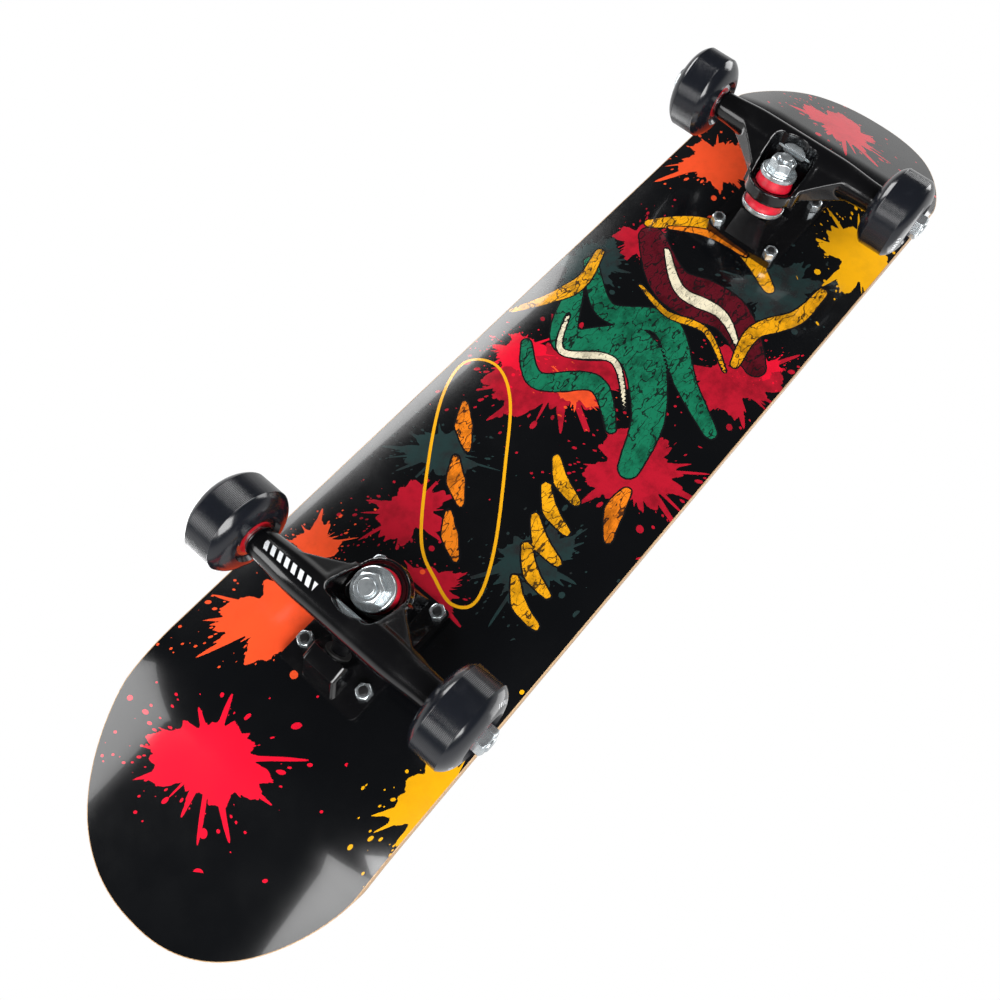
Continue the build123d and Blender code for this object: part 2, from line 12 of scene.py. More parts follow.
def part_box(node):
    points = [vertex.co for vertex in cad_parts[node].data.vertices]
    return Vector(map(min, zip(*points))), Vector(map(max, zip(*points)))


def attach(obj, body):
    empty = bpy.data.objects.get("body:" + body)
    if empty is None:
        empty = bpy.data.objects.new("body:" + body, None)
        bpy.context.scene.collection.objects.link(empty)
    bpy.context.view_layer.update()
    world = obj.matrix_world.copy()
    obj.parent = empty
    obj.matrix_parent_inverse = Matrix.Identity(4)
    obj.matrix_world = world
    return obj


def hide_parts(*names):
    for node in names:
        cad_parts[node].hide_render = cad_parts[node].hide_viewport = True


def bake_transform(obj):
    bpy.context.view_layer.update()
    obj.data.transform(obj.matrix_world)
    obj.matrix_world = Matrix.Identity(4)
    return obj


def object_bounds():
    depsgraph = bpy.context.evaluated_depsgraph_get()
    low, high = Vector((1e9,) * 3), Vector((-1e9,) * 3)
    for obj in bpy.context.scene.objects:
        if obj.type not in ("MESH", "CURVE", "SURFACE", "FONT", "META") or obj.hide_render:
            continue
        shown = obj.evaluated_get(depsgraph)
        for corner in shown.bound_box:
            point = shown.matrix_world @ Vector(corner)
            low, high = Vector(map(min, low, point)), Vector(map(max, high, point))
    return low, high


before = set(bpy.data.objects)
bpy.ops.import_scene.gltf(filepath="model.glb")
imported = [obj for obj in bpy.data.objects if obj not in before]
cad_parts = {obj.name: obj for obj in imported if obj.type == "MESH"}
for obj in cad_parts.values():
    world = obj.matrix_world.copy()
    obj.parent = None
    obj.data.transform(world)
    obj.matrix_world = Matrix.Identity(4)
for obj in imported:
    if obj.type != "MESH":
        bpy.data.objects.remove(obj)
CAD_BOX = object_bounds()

log = logging.getLogger("skateboard")

MM = 0.001
Socket = bpy.types.NodeSocket
Colour = tuple[float, float, float]


class End(Enum):
    """The two ends of the board."""

    FRONT = "front"
    REAR = "rear"


class Side(Enum):
    """The two sides of the board, seen by a rider who faces the nose."""

    LEFT = "left"
    RIGHT = "right"


class Slot(Enum):
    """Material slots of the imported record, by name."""

    MAPLE = "maple"
    LACQUER = "deck_lacquer"
    GRIP = "grip"
    CASTING = "black_casting"
    ZINC = "zinc"
    BLACK_STEEL = "black_steel"
    BUSHING = "bushing_red"
    URETHANE = "wheel_urethane"


class Ink(Enum):
    """Inks of the printed underside; those of the brush strokes are also mesh attributes, in the order laid."""

    MAROON = "ink_maroon"
    GREEN = "ink_green"
    CREAM = "ink_cream"
    GOLD = "ink_gold"
    OUTLINE = "ink_outline"
    AMBER = "ink_amber"
    SMOKE = "smoke"
    CRIMSON = "crimson"
    ORANGE = "orange"
    RED = "red"
    YELLOW = "yellow"


BRUSHED = (Ink.MAROON, Ink.GREEN, Ink.CREAM, Ink.GOLD, Ink.OUTLINE, Ink.AMBER)

INK_COLOURS: dict[Ink, Colour] = {
    Ink.SMOKE: (0.016, 0.036, 0.036),
    Ink.CRIMSON: (0.46, 0.008, 0.024),
    Ink.ORANGE: (0.88, 0.085, 0.022),
    Ink.RED: (0.80, 0.006, 0.030),
    Ink.YELLOW: (0.88, 0.42, 0.003),
    Ink.MAROON: (0.10, 0.005, 0.012),
    Ink.GREEN: (0.008, 0.17, 0.085),
    Ink.CREAM: (0.84, 0.76, 0.55),
    Ink.GOLD: (0.86, 0.38, 0.006),
    Ink.OUTLINE: (0.85, 0.40, 0.006),
    Ink.AMBER: (0.86, 0.22, 0.010),
}


# ---------------------------------------------------------------- shader graphs
class Graph:
    """A material's node tree with short calls that add and join nodes."""

    def __init__(self, name: str) -> None:
        """Start a material.

        Args:
            name: The material's name.
        """
        self.material = bpy.data.materials.new(name)
        self.material.use_nodes = True
        self.tree = self.material.node_tree
        self.shader = self.tree.nodes["Principled BSDF"]
        self.place = self.add("ShaderNodeTexCoord").outputs["Object"]

    def add(self, kind: str, **settings: object) -> bpy.types.Node:
        """Add a node of a kind and set its properties.

        Args:
            kind: The node type.
            settings: Properties of the node.

        Returns:
            The new node.
        """
        node = self.tree.nodes.new(kind)
        for name, value in settings.items():
            setattr(node, name, value)
        return node

    def feed(self, socket: Socket, value: object) -> None:
        """Join a socket to another node's output, or set it to a plain value.

        Args:
            socket: An input.
            value: An output or a plain value.
        """
        if isinstance(value, bpy.types.NodeSocket):
            self.tree.links.new(value, socket)
        else:
            socket.default_value = value

    def set(self, **values: object) -> None:
        """Set inputs of the main shader; an underscore in a name stands for a space."""
        for name, value in values.items():
            self.feed(self.shader.inputs[name.replace("_", " ")], value)

    def math(self, operation: str, first: object, second: object = 0.0, clamp: bool = False) -> Socket:
        """Result of one arithmetic step.

        Args:
            operation: The operation.
            first: First operand.
            second: Second operand.
            clamp: Whether the result is held between 0 and 1.

        Returns:
            The result.
        """
        node = self.add("ShaderNodeMath", operation=operation, use_clamp=clamp)
        self.feed(node.inputs[0], first)
        self.feed(node.inputs[1], second)
        return node.outputs[0]

    def ramp(self, value: Socket, low: float, high: float, at_low: float = 0.0, at_high: float = 1.0) -> Socket:
        """Smooth step of a value between two levels.

        Args:
            value: The value.
            low: Level where the step starts.
            high: Level where it ends.
            at_low: Result below the step.
            at_high: Result above it.

        Returns:
            The result.
        """
        node = self.add("ShaderNodeMapRange", interpolation_type="SMOOTHSTEP")
        for index, item in enumerate((value, low, high, at_low, at_high)):
            self.feed(node.inputs[index], item)
        return node.outputs[0]

    def mix(self, factor: object, first: object, second: object) -> Socket:
        """Blend of two colours.

        Args:
            factor: Share of the second colour.
            first: First colour.
            second: Second colour.

        Returns:
            The blend.
        """
        node = self.add("ShaderNodeMix", data_type="RGBA")
        self.feed(node.inputs[0], factor)
        for socket, colour in ((node.inputs[6], first), (node.inputs[7], second)):
            self.feed(socket, (*colour, 1.0) if isinstance(colour, tuple) else colour)
        return node.outputs[2]

    def noise(self, scale: float, detail: float = 3.0, roughness: float = 0.5, at: Optional[Socket] = None) -> Socket:
        """Fractal noise.

        Args:
            scale: Features per metre.
            detail: Number of octaves.
            roughness: Strength of the fine octaves.
            at: Coordinates; those of the object by default.

        Returns:
            The noise, from 0 to 1.
        """
        node = self.add("ShaderNodeTexNoise")
        self.feed(node.inputs["Vector"], at or self.place)
        self.feed(node.inputs["Scale"], scale)
        self.feed(node.inputs["Detail"], detail)
        self.feed(node.inputs["Roughness"], roughness)
        return node.outputs["Fac"]

    def cells(self, scale: float, at: Optional[Socket] = None) -> tuple[Socket, Socket]:
        """Distance to the nearest scattered point, in cells, and that point's random colour.

        Args:
            scale: Cells per metre.
            at: Coordinates; those of the object by default.

        Returns:
            The distance and the colour.
        """
        node = self.add("ShaderNodeTexVoronoi")
        self.feed(node.inputs["Vector"], at or self.place)
        self.feed(node.inputs["Scale"], scale)
        return node.outputs["Distance"], node.outputs["Color"]

    def mapped(self, scale: Sequence[float], turn: float = 0.0) -> Socket:
        """Object coordinates turned about Z and scaled.

        Args:
            scale: Scale along each axis.
            turn: Angle about Z, in radians.

        Returns:
            The coordinates.
        """
        node = self.add("ShaderNodeMapping")
        self.feed(node.inputs["Vector"], self.place)
        node.inputs["Rotation"].default_value = (0, 0, turn)
        node.inputs["Scale"].default_value = scale
        return node.outputs[0]

    def part(self, vector: Socket, axis: str) -> Socket:
        """One component of a vector or colour.

        Args:
            vector: The vector.
            axis: X, Y or Z.

        Returns:
            The component.
        """
        node = self.add("ShaderNodeSeparateXYZ")
        self.feed(node.inputs[0], vector)
        return node.outputs[axis]

    def attribute(self, name: str, output: str = "Fac") -> Socket:
        """A mesh attribute's value."""
        return self.add("ShaderNodeAttribute", attribute_name=name).outputs[output]

    def bump(self, height: Socket, distance: float, strength: float = 1.0, under: Optional[Socket] = None) -> Socket:
        """Surface relief from a height.

        Args:
            height: The height, from 0 to 1.
            distance: Its depth in metres.
            strength: Its strength.
            under: Relief that it lies on.

        Returns:
            The bent normal.
        """
        node = self.add("ShaderNodeBump")
        self.feed(node.inputs["Height"], height)
        self.feed(node.inputs["Distance"], distance)
        self.feed(node.inputs["Strength"], strength)
        if under is not None:
            self.feed(node.inputs["Normal"], under)
        self.feed(self.shader.inputs["Normal"], node.outputs[0])
        return node.outputs[0]


# ---------------------------------------------------------------- finishes
@dataclass(frozen=True)
class GlossCasting:
    """Black powder coat over a cast truck part, with printed slanted bars."""

    name: str = "gloss_black_casting"
    colour: Colour = (0.0030, 0.0030, 0.0036)
    dust: Colour = (0.012, 0.012, 0.012)
    bars: bool = False
    bar_spacing: float = 0.0046
    bar_colour: Colour = (0.80, 0.81, 0.83)

    def build(self) -> bpy.types.Material:
        """Make the material.

        Returns:
            The material.
        """
        g = Graph(self.name)
        patches = g.noise(55, 4, 0.6)
        specks = g.noise(900, 2, 0.5)
        colour = g.mix(g.ramp(patches, 0.52, 0.85, 0.0, 0.35), self.colour, self.dust)
        roughness = g.math("ADD", g.ramp(patches, 0.35, 0.75, 0.15, 0.21), g.math("MULTIPLY", specks, 0.03))
        if self.bars:
            print_mask = g.attribute("print_area")
            along = g.attribute("print_along")
            stripe = g.math("FRACT", g.math("DIVIDE", along, self.bar_spacing))
            inside = g.math("MULTIPLY", g.ramp(stripe, 0.20, 0.24), g.ramp(stripe, 0.76, 0.80, 1.0, 0.0))
            worn = g.ramp(g.noise(1400, 3, 0.7), 0.30, 0.36)
            mask = g.math("MULTIPLY", g.math("MULTIPLY", inside, worn), g.ramp(print_mask, 0.0, 0.0003))
            colour = g.mix(mask, colour, self.bar_colour)
            roughness = g.math("ADD", roughness, g.math("MULTIPLY", mask, 0.15))
        g.set(Base_Color=colour, Roughness=roughness, Coat_Weight=0.35, Coat_Roughness=0.06)
        peel = g.bump(g.noise(300, 2, 0.5), 0.00004, 0.30)
        g.bump(specks, 0.00001, 0.12, peel)
        return g.material


@dataclass(frozen=True)
class ZincPlate:
    """Bright zinc plating on steel hardware."""

    name: str = "zinc_plate"
    colour: Colour = (0.66, 0.71, 0.73)
    shade: Colour = (0.40, 0.44, 0.47)
    roughness: float = 0.24
    metallic: float = 0.78

    def build(self) -> bpy.types.Material:
        """Make the material.

        Returns:
            The material.
        """
        g = Graph(self.name)
        cloud = g.noise(260, 4, 0.6)
        fine = g.noise(2600, 2, 0.6)
        g.set(Metallic=self.metallic, Base_Color=g.mix(g.ramp(cloud, 0.40, 0.72), self.colour, self.shade))
        spread = g.math("MULTIPLY", cloud, 0.16)
        g.set(Roughness=g.math("ADD", spread, self.roughness - 0.08))
        g.bump(fine, 0.00001, 0.10)
        return g.material


@dataclass(frozen=True)
class PlainMetal:
    """Smooth metal of bearings, cages and blackened bolts."""

    name: str
    colour: Colour
    metallic: float = 1.0
    roughness: float = 0.16

    def build(self) -> bpy.types.Material:
        """Make the material.

        Returns:
            The material.
        """
        g = Graph(self.name)
        cloud = g.noise(500, 3, 0.6)
        dark = tuple(0.6 * value for value in self.colour)
        g.set(Metallic=self.metallic, Base_Color=g.mix(g.ramp(cloud, 0.45, 0.8), self.colour, dark))
        g.set(Roughness=g.math("ADD", g.math("MULTIPLY", cloud, 0.16), self.roughness))
        g.bump(g.noise(3000, 2, 0.5), 0.00002, 0.3)
        return g.material


@dataclass(frozen=True)
class CastUrethane:
    """Cast or moulded urethane: bushings, shields and cups."""

    name: str
    colour: Colour
    deep: Colour
    roughness: float = 0.34
    glow: float = 0.0

    def build(self) -> bpy.types.Material:
        """Make the material.

        Returns:
            The material.
        """
        g = Graph(self.name)
        cloud = g.noise(180, 3, 0.55)
        g.set(Base_Color=g.mix(g.ramp(cloud, 0.38, 0.70), self.colour, self.deep))
        g.set(Roughness=g.math("ADD", g.math("MULTIPLY", cloud, 0.14), self.roughness - 0.07))
        g.set(Subsurface_Weight=self.glow, Subsurface_Scale=0.002)
        g.bump(g.noise(1500, 3, 0.6), 0.00003, 0.45)
        return g.material


@dataclass(frozen=True)
class WheelUrethane:
    """Dark gloss urethane with a scuffed tread and small printed dashes on the outer face."""

    name: str = "wheel_urethane"
    colour: Colour = (0.0085, 0.0100, 0.0140)
    scuff: Colour = (0.030, 0.032, 0.038)
    dash_count: float = 46.0
    print_radius: float = 0.0188
    print_half_height: float = 0.00095

    def build(self) -> bpy.types.Material:
        """Make the material from the wheel's own coordinates in its local attribute.

        Returns:
            The material.
        """
        g = Graph(self.name)
        local = g.attribute("local", "Vector")
        x, y, z = (g.part(local, axis) for axis in "XYZ")
        radius = g.math("SQRT", g.math("ADD", g.math("MULTIPLY", x, x), g.math("MULTIPLY", z, z)))
        turn = g.math("DIVIDE", g.math("ARCTAN2", z, x), 2 * math.pi)
        dash = g.math("FRACT", g.math("MULTIPLY", turn, self.dash_count))
        groups = g.math("FRACT", g.math("ADD", g.math("MULTIPLY", turn, 2.0), 0.25))
        band = g.ramp(g.math("ABSOLUTE", g.math("SUBTRACT", radius, self.print_radius)),
                      self.print_half_height, self.print_half_height + 0.00012, 1.0, 0.0)
        mask = g.math("MULTIPLY", band, g.ramp(dash, 0.40, 0.44, 1.0, 0.0))
        mask = g.math("MULTIPLY", mask, g.ramp(groups, 0.30, 0.31, 1.0, 0.0))
        mask = g.math("MULTIPLY", mask, g.ramp(y, 0.0095, 0.0097))
        tread = g.ramp(radius, 0.0234, 0.0238)
        scuffs = g.math("MULTIPLY", tread, g.ramp(g.noise(160, 5, 0.7), 0.50, 0.78, 0.0, 0.30))
        colour = g.mix(scuffs, self.colour, self.scuff)
        g.set(Base_Color=g.mix(mask, colour, (0.72, 0.73, 0.75)))
        cloud = g.noise(130, 3, 0.6)
        smooth = g.math("ADD", g.math("MULTIPLY", cloud, 0.10), g.math("MULTIPLY", scuffs, 0.25))
        g.set(Roughness=g.math("ADD", smooth, 0.13), Coat_Weight=0.2, Coat_Roughness=0.08)
        first = g.bump(g.noise(240, 3, 0.5), 0.00003, 0.15)
        g.bump(g.noise(1800, 2, 0.5), 0.00001, 0.08, first)
        return g.material


@dataclass(frozen=True)
class Maple:
    """Maple veneer seen on the deck's edge, with grain along the board."""

    name: str
    light: Colour = (0.66, 0.43, 0.22)
    dark: Colour = (0.36, 0.19, 0.08)
    cross: bool = False

    def build(self) -> bpy.types.Material:
        """Make the material; a cross ply shows end grain along the rails.

        Returns:
            The material.
        """
        g = Graph(self.name)
        stretch = (900, 40, 1500) if self.cross else (28, 500, 1500)
        grain = g.noise(1.0, 5, 0.62, g.mapped(stretch))
        bands = g.noise(1.0, 2, 0.5, g.mapped((9, 9, 60)))
        mixed = g.math("ADD", g.math("MULTIPLY", grain, 0.7), g.math("MULTIPLY", bands, 0.3))
        g.set(Base_Color=g.mix(g.ramp(mixed, 0.36, 0.68), self.light, self.dark))
        g.set(Roughness=g.math("ADD", g.math("MULTIPLY", grain, 0.25), 0.34))
        g.bump(grain, 0.00008, 0.45)
        return g.material


@dataclass(frozen=True)
class GripTape:
    """Black grit-coated tape."""

    name: str = "grip_tape"
    colour: Colour = (0.010, 0.010, 0.011)
    grain: Colour = (0.085, 0.085, 0.088)

    def build(self) -> bpy.types.Material:
        """Make the material.

        Returns:
            The material.
        """
        g = Graph(self.name)
        distance, tint = g.cells(1500)
        sparkle = g.ramp(g.part(tint, "X"), 0.80, 0.97)
        height = g.math("SUBTRACT", 1.0, distance)
        facets = g.math("MULTIPLY", sparkle, g.ramp(distance, 0.25, 0.45, 1.0, 0.0))
        worn = g.ramp(g.noise(14, 5, 0.65), 0.45, 0.75, 0.0, 0.10)
        colour = g.mix(g.math("ADD", facets, worn, clamp=True), self.colour, self.grain)
        g.set(Base_Color=colour, Roughness=g.ramp(g.part(tint, "Y"), 0.0, 1.0, 0.55, 0.95))
        rough = g.bump(height, 0.00035, 0.9)
        g.bump(g.noise(700, 3, 0.6), 0.00015, 0.5, rough)
        return g.material


@dataclass(frozen=True)
class PrintedLacquer:
    """Gloss lacquer over the printed underside: splashes, then brush strokes, over black."""

    name: str = "printed_lacquer"
    black: Colour = (0.0022, 0.0026, 0.0034)
    line: Colour = (0.006, 0.006, 0.007)
    edge: float = 0.00010
    ragged: float = 0.0012
    outline_half: float = 0.0009

    def build(self) -> bpy.types.Material:
        """Make the material from the attributes that the film carries.

        Returns:
            The material.
        """
        g = Graph(self.name)
        density = g.noise(70, 5, 0.65)
        colour: object = self.black
        for layer in (CLOUDS, BURSTS):
            colour = self.splashes(g, layer.name, colour, density)
        colour = self.strokes(g, colour, density)
        g.set(Base_Color=colour, Roughness=g.ramp(g.noise(35, 4, 0.6), 0.3, 0.8, 0.17, 0.23))
        g.set(Coat_Weight=0.4, Coat_Roughness=0.05)
        g.bump(g.noise(240, 3, 0.5), 0.00002, 0.3)
        return g.material

    def splashes(self, g: Graph, layer: str, colour: object, density: Socket) -> Socket:
        """Lay one layer of splashes: a ragged blob, thin rays and drops thrown outwards.

        Args:
            g: The material's graph.
            layer: Name that the layer's attributes start with.
            colour: The colour laid so far.
            density: Noise that thins the ink.

        Returns:
            The colour with the splashes on top.
        """
        place = g.attribute(f"{layer}_place", "Vector")
        u, v, seed = (g.part(place, axis) for axis in "XYZ")
        out = g.math("SQRT", g.math("ADD", g.math("MULTIPLY", u, u), g.math("MULTIPLY", v, v)))
        aim = [g.math("DIVIDE", part, g.math("MAXIMUM", out, 0.001)) for part in (u, v)]
        blob = g.noise(1.0, 2, 0.5, self.polar(g, aim, 1.5, seed))
        rays = g.noise(1.0, 1, 0.5, self.polar(g, aim, 5.5, seed))
        wobble = g.math("SUBTRACT", g.noise(260, 3, 0.6), 0.5)
        reach = g.math("ADD", g.ramp(blob, 0.25, 0.75, 0.48, 1.10), g.ramp(rays, 0.56, 0.86, 0.0, 1.05))
        reach = g.math("ADD", reach, g.math("MULTIPLY", wobble, 0.16))
        mask = g.ramp(g.math("SUBTRACT", reach, out), -0.006, 0.006)
        for turns, rings, size, most in ((6.0, 3.2, 0.30, 0.62), (11.0, 6.5, 0.30, 0.50)):
            distance, random = g.cells(1.0, self.polar(g, aim, turns, g.math("MULTIPLY", out, rings)))
            limit = g.math("MULTIPLY", g.ramp(out, 0.8, 2.2, most, 0.02), g.ramp(blob, 0.3, 0.6, 0.5, 1.2))
            present = g.math("LESS_THAN", g.part(random, "X"), limit)
            drop = g.math("LESS_THAN", distance, g.math("MULTIPLY", g.part(random, "Y"), size))
            mask = g.math("MAXIMUM", mask, g.math("MULTIPLY", present, drop))
        mask = g.math("MULTIPLY", mask, g.ramp(out, 2.3, 2.35, 1.0, 0.0))
        ink = g.attribute(f"{layer}_ink", "Color")
        thin = g.mix(g.ramp(density, 0.40, 0.72, 0.0, 0.55), ink, (0.02, 0.002, 0.004))
        tone = g.mix(g.attribute(f"{layer}_thin"), ink, thin)
        return g.mix(mask, colour, tone)

    @staticmethod
    def polar(g: Graph, aim: Sequence[Socket], turns: float, third: object) -> Socket:
        """Coordinates that change with direction, and with a third value.

        Args:
            g: The material's graph.
            aim: Direction from the middle of the splash.
            turns: How fast they change with direction.
            third: The third value.

        Returns:
            The coordinates.
        """
        node = g.add("ShaderNodeCombineXYZ")
        for index, part in enumerate(aim):
            g.feed(node.inputs[index], g.math("MULTIPLY", part, turns))
        g.feed(node.inputs[2], third)
        return node.outputs[0]

    def strokes(self, g: Graph, colour: object, density: Socket) -> Socket:
        """Lay the brush strokes, each with a dark outline and dark fold lines.

        Args:
            g: The material's graph.
            colour: The colour laid so far.
            density: Noise that thins the ink.

        Returns:
            The colour with the strokes on top.
        """
        ragged = g.math("SUBTRACT", g.noise(160, 4, 0.6), 0.5)
        folds = g.math("ABSOLUTE", g.math("SUBTRACT", g.noise(1.0, 2, 0.5, g.mapped((70, 150, 70), turn=0.6)), 0.5))
        fine = g.math("ABSOLUTE", g.math("SUBTRACT", g.noise(1.0, 1, 0.4, g.mapped((150, 420, 150), turn=0.5)), 0.5))
        for ink in BRUSHED:
            distance = g.attribute(ink.value)
            base = INK_COLOURS[ink]
            if ink is Ink.OUTLINE:
                distance = g.math("SUBTRACT", self.outline_half, g.math("ABSOLUTE", distance))
                mask = g.ramp(distance, -self.edge, self.edge)
                colour = g.mix(mask, colour, base)
                continue
            distance = g.math("ADD", distance, g.math("MULTIPLY", ragged, self.ragged))
            around = g.ramp(distance, -0.0011, -0.0009)
            colour = g.mix(around, colour, self.line)
            dark = tuple(0.30 * value for value in base)
            tone = g.mix(g.ramp(density, 0.44, 0.66, 0.0, 0.75), base, dark)
            if ink is not Ink.CREAM:
                tone = g.mix(g.ramp(folds, 0.010, 0.026, 0.9, 0.0), tone, self.line)
            tone = g.mix(g.ramp(fine, 0.006, 0.020, 0.7, 0.0), tone, self.line)
            colour = g.mix(g.ramp(distance, -self.edge, self.edge), colour, tone)
        return colour


# ---------------------------------------------------------------- mesh helpers
def activate(piece: bpy.types.Object) -> None:
    """Make a piece the only selected and the active object.

    Args:
        piece: The piece.
    """
    bpy.ops.object.select_all(action="DESELECT")
    piece.select_set(True)
    bpy.context.view_layer.objects.active = piece


def cad_copy(node: str, name: str) -> bpy.types.Object:
    """Copy a CAD node's mesh as a new piece, with its loose triangles merged.

    Args:
        node: The CAD node's name.
        name: Name of the new piece.

    Returns:
        The new piece.
    """
    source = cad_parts[node]
    piece = bpy.data.objects.new(name, source.data.copy())
    piece.data.name = name
    piece.data.materials.clear()
    bpy.context.scene.collection.objects.link(piece)
    activate(piece)
    bpy.ops.object.mode_set(mode="EDIT")
    bpy.ops.mesh.select_all(action="SELECT")
    bpy.ops.mesh.remove_doubles(threshold=2e-6)
    bpy.ops.mesh.normals_make_consistent(inside=False)
    bpy.ops.object.mode_set(mode="OBJECT")
    return piece


def add_modifier(piece: bpy.types.Object, kind: str, **settings: object) -> None:
    """Add a modifier, set it and apply it.

    Args:
        piece: The piece.
        kind: Type of the modifier.
        settings: Its settings.
    """
    activate(piece)
    modifier = piece.modifiers.new(kind.title(), kind)
    for name, value in settings.items():
        setattr(modifier, name, value)
    bpy.ops.object.modifier_apply(modifier=modifier.name)


def finish_piece(piece: bpy.types.Object, body: str, material: bpy.types.Material,
                 smooth: float = 35.0) -> None:
    """Shade, dress and mount a piece.

    Args:
        piece: The finished mesh.
        body: The body that it rides on; an empty name leaves the piece on no body.
        material: Its material.
        smooth: Edges flatter than this many degrees are shaded smooth.
    """
    activate(piece)
    bpy.ops.object.shade_smooth_by_angle(angle=math.radians(smooth))
    piece.data.materials.clear()
    piece.data.materials.append(material)
    if body:
        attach(piece, body)
    log.info("%s: %d faces", piece.name, len(piece.data.polygons))


def store(piece: bpy.types.Object, name: str, values: np.ndarray, domain: str = "POINT") -> None:
    """Write one number, or one vector, for each vertex or face corner to an attribute.

    Args:
        piece: The piece.
        name: Name of the attribute.
        values: A row for each vertex or corner.
        domain: POINT or CORNER.
    """
    vector = values.ndim == 2
    layer = piece.data.attributes.new(name, "FLOAT_VECTOR" if vector else "FLOAT", domain)
    layer.data.foreach_set("vector" if vector else "value", values.astype(np.float32).ravel())


def vertices(piece: bpy.types.Object) -> np.ndarray:
    """Vertex positions of a piece.

    Args:
        piece: The piece.

    Returns:
        A row for each vertex.
    """
    co = np.empty(len(piece.data.vertices) * 3, np.float32)
    piece.data.vertices.foreach_get("co", co)
    return co.reshape(-1, 3).astype(float)


def spun(name: str, profile: Sequence[tuple[float, float]], centre: Vector, axis: Vector,
         steps: int = 96) -> bpy.types.Object:
    """Turn a closed outline of (radius, height) points about an axis.

    Args:
        name: Name of the new piece.
        profile: Outline points, in metres.
        centre: Point on the axis where the height is zero.
        axis: Unit vector along the axis.
        steps: Segments round the axis.

    Returns:
        The new piece, closed and with its normals outwards.
    """
    outwards = axis.orthogonal().normalized()
    bpy.ops.object.select_all(action="DESELECT")
    bpy.ops.mesh.primitive_circle_add(vertices=len(profile), radius=1.0)
    piece = bpy.context.active_object
    piece.name = name
    piece.data.name = name
    for vertex, (radius, height) in zip(piece.data.vertices, profile):
        vertex.co = centre + outwards * radius + axis * height
    bpy.ops.object.mode_set(mode="EDIT")
    bpy.ops.mesh.select_all(action="SELECT")
    bpy.ops.mesh.spin(steps=steps, angle=2 * math.pi, center=centre, axis=axis)
    bpy.ops.mesh.select_all(action="SELECT")
    bpy.ops.mesh.remove_doubles(threshold=1e-6)
    bpy.ops.mesh.normals_make_consistent(inside=False)
    bpy.ops.object.mode_set(mode="OBJECT")
    return piece


# ---------------------------------------------------------------- printed underside
@dataclass(frozen=True)
class Splat:
    """One splash of ink; sizes and places in millimetres."""

    ink: Ink
    x: float
    y: float
    radius: float
    stretch: float = 1.0
    turn: float = 0.0
    thin: float = 0.3

    def local(self, place: np.ndarray) -> np.ndarray:
        """Places in the splash's own turned and stretched frame, in radii.

        Args:
            place: Places on the print, in millimetres.

        Returns:
            A row for each place.
        """
        turn = math.radians(self.turn)
        dx, dy = place[:, 0] - self.x, place[:, 1] - self.y
        u = (dx * math.cos(turn) + dy * math.sin(turn)) / (self.radius * self.stretch)
        v = (dy * math.cos(turn) - dx * math.sin(turn)) / self.radius
        return np.stack([u, v], axis=1)


@dataclass(frozen=True)
class SplatLayer:
    """Splashes that share one set of attributes; each face of the film belongs to the nearest."""

    name: str
    splats: tuple[Splat, ...]

    def write(self, piece: bpy.types.Object, place: np.ndarray) -> None:
        """Write each face corner's place, ink and thinness.

        Args:
            piece: The film.
            place: The film's vertices on the print, in millimetres.
        """
        mesh = piece.data
        corner_vertex = np.empty(len(mesh.loops), np.int32)
        mesh.loops.foreach_get("vertex_index", corner_vertex)
        size = np.empty(len(mesh.polygons), np.int32)
        mesh.polygons.foreach_get("loop_total", size)
        face = np.repeat(np.arange(len(size)), size)
        corner = place[corner_vertex]
        centre = np.stack([np.bincount(face, corner[:, axis]) / size for axis in (0, 1)], axis=1)
        away = np.stack([np.hypot(*splat.local(centre).T) for splat in self.splats])
        nearest = away.argmin(axis=0)[face]
        values = np.zeros((len(corner), 3))
        inks = np.zeros((len(corner), 3))
        thin = np.zeros(len(corner))
        for index, splat in enumerate(self.splats):
            mine = nearest == index
            values[mine, :2] = splat.local(corner[mine])
            values[mine, 2] = 3.7 * index
            inks[mine] = INK_COLOURS[splat.ink]
            thin[mine] = splat.thin
        store(piece, f"{self.name}_place", values, "CORNER")
        store(piece, f"{self.name}_ink", inks, "CORNER")
        store(piece, f"{self.name}_thin", thin, "CORNER")


def from_segment(place: np.ndarray, start: Sequence[float], end: Sequence[float]) -> tuple[np.ndarray, np.ndarray]:
    """Find the nearest point of a segment to each place.

    Args:
        place: Places on the print.
        start: The segment's first end.
        end: Its other end.

    Returns:
        How far along the segment that point lies, from 0 to 1, and the distance to it.
    """
    run = np.array([end[0] - start[0], end[1] - start[1]])
    length = max(float(run @ run), 1e-9)
    x, y = place[:, 0] - start[0], place[:, 1] - start[1]
    share = np.clip((x * run[0] + y * run[1]) / length, 0, 1)
    return share, np.hypot(x - share * run[0], y - share * run[1])


@dataclass(frozen=True)
class Stroke:
    """Brush stroke through a few points, with a width at each end and in the middle; millimetres."""

    ink: Ink
    points: tuple[tuple[float, float], ...]
    widths: tuple[float, float, float] = (2.0, 6.0, 1.0)
    samples: int = 12

    def field(self, place: np.ndarray) -> np.ndarray:
        """Signed distance of each place, positive inside the ink.

        Args:
            place: Places on the print, in millimetres.

        Returns:
            A distance for each place.
        """
        line = smooth_line(self.points, self.samples)
        half = np.interp(np.linspace(0, 1, len(line)), (0, 0.5, 1), self.widths) / 2
        result = np.full(len(place), -1e3)
        for first, second, start, end in zip(line[:-1], line[1:], half[:-1], half[1:]):
            share, away = from_segment(place, first, second)
            result = np.maximum(result, start + (end - start) * share - away)
        return result


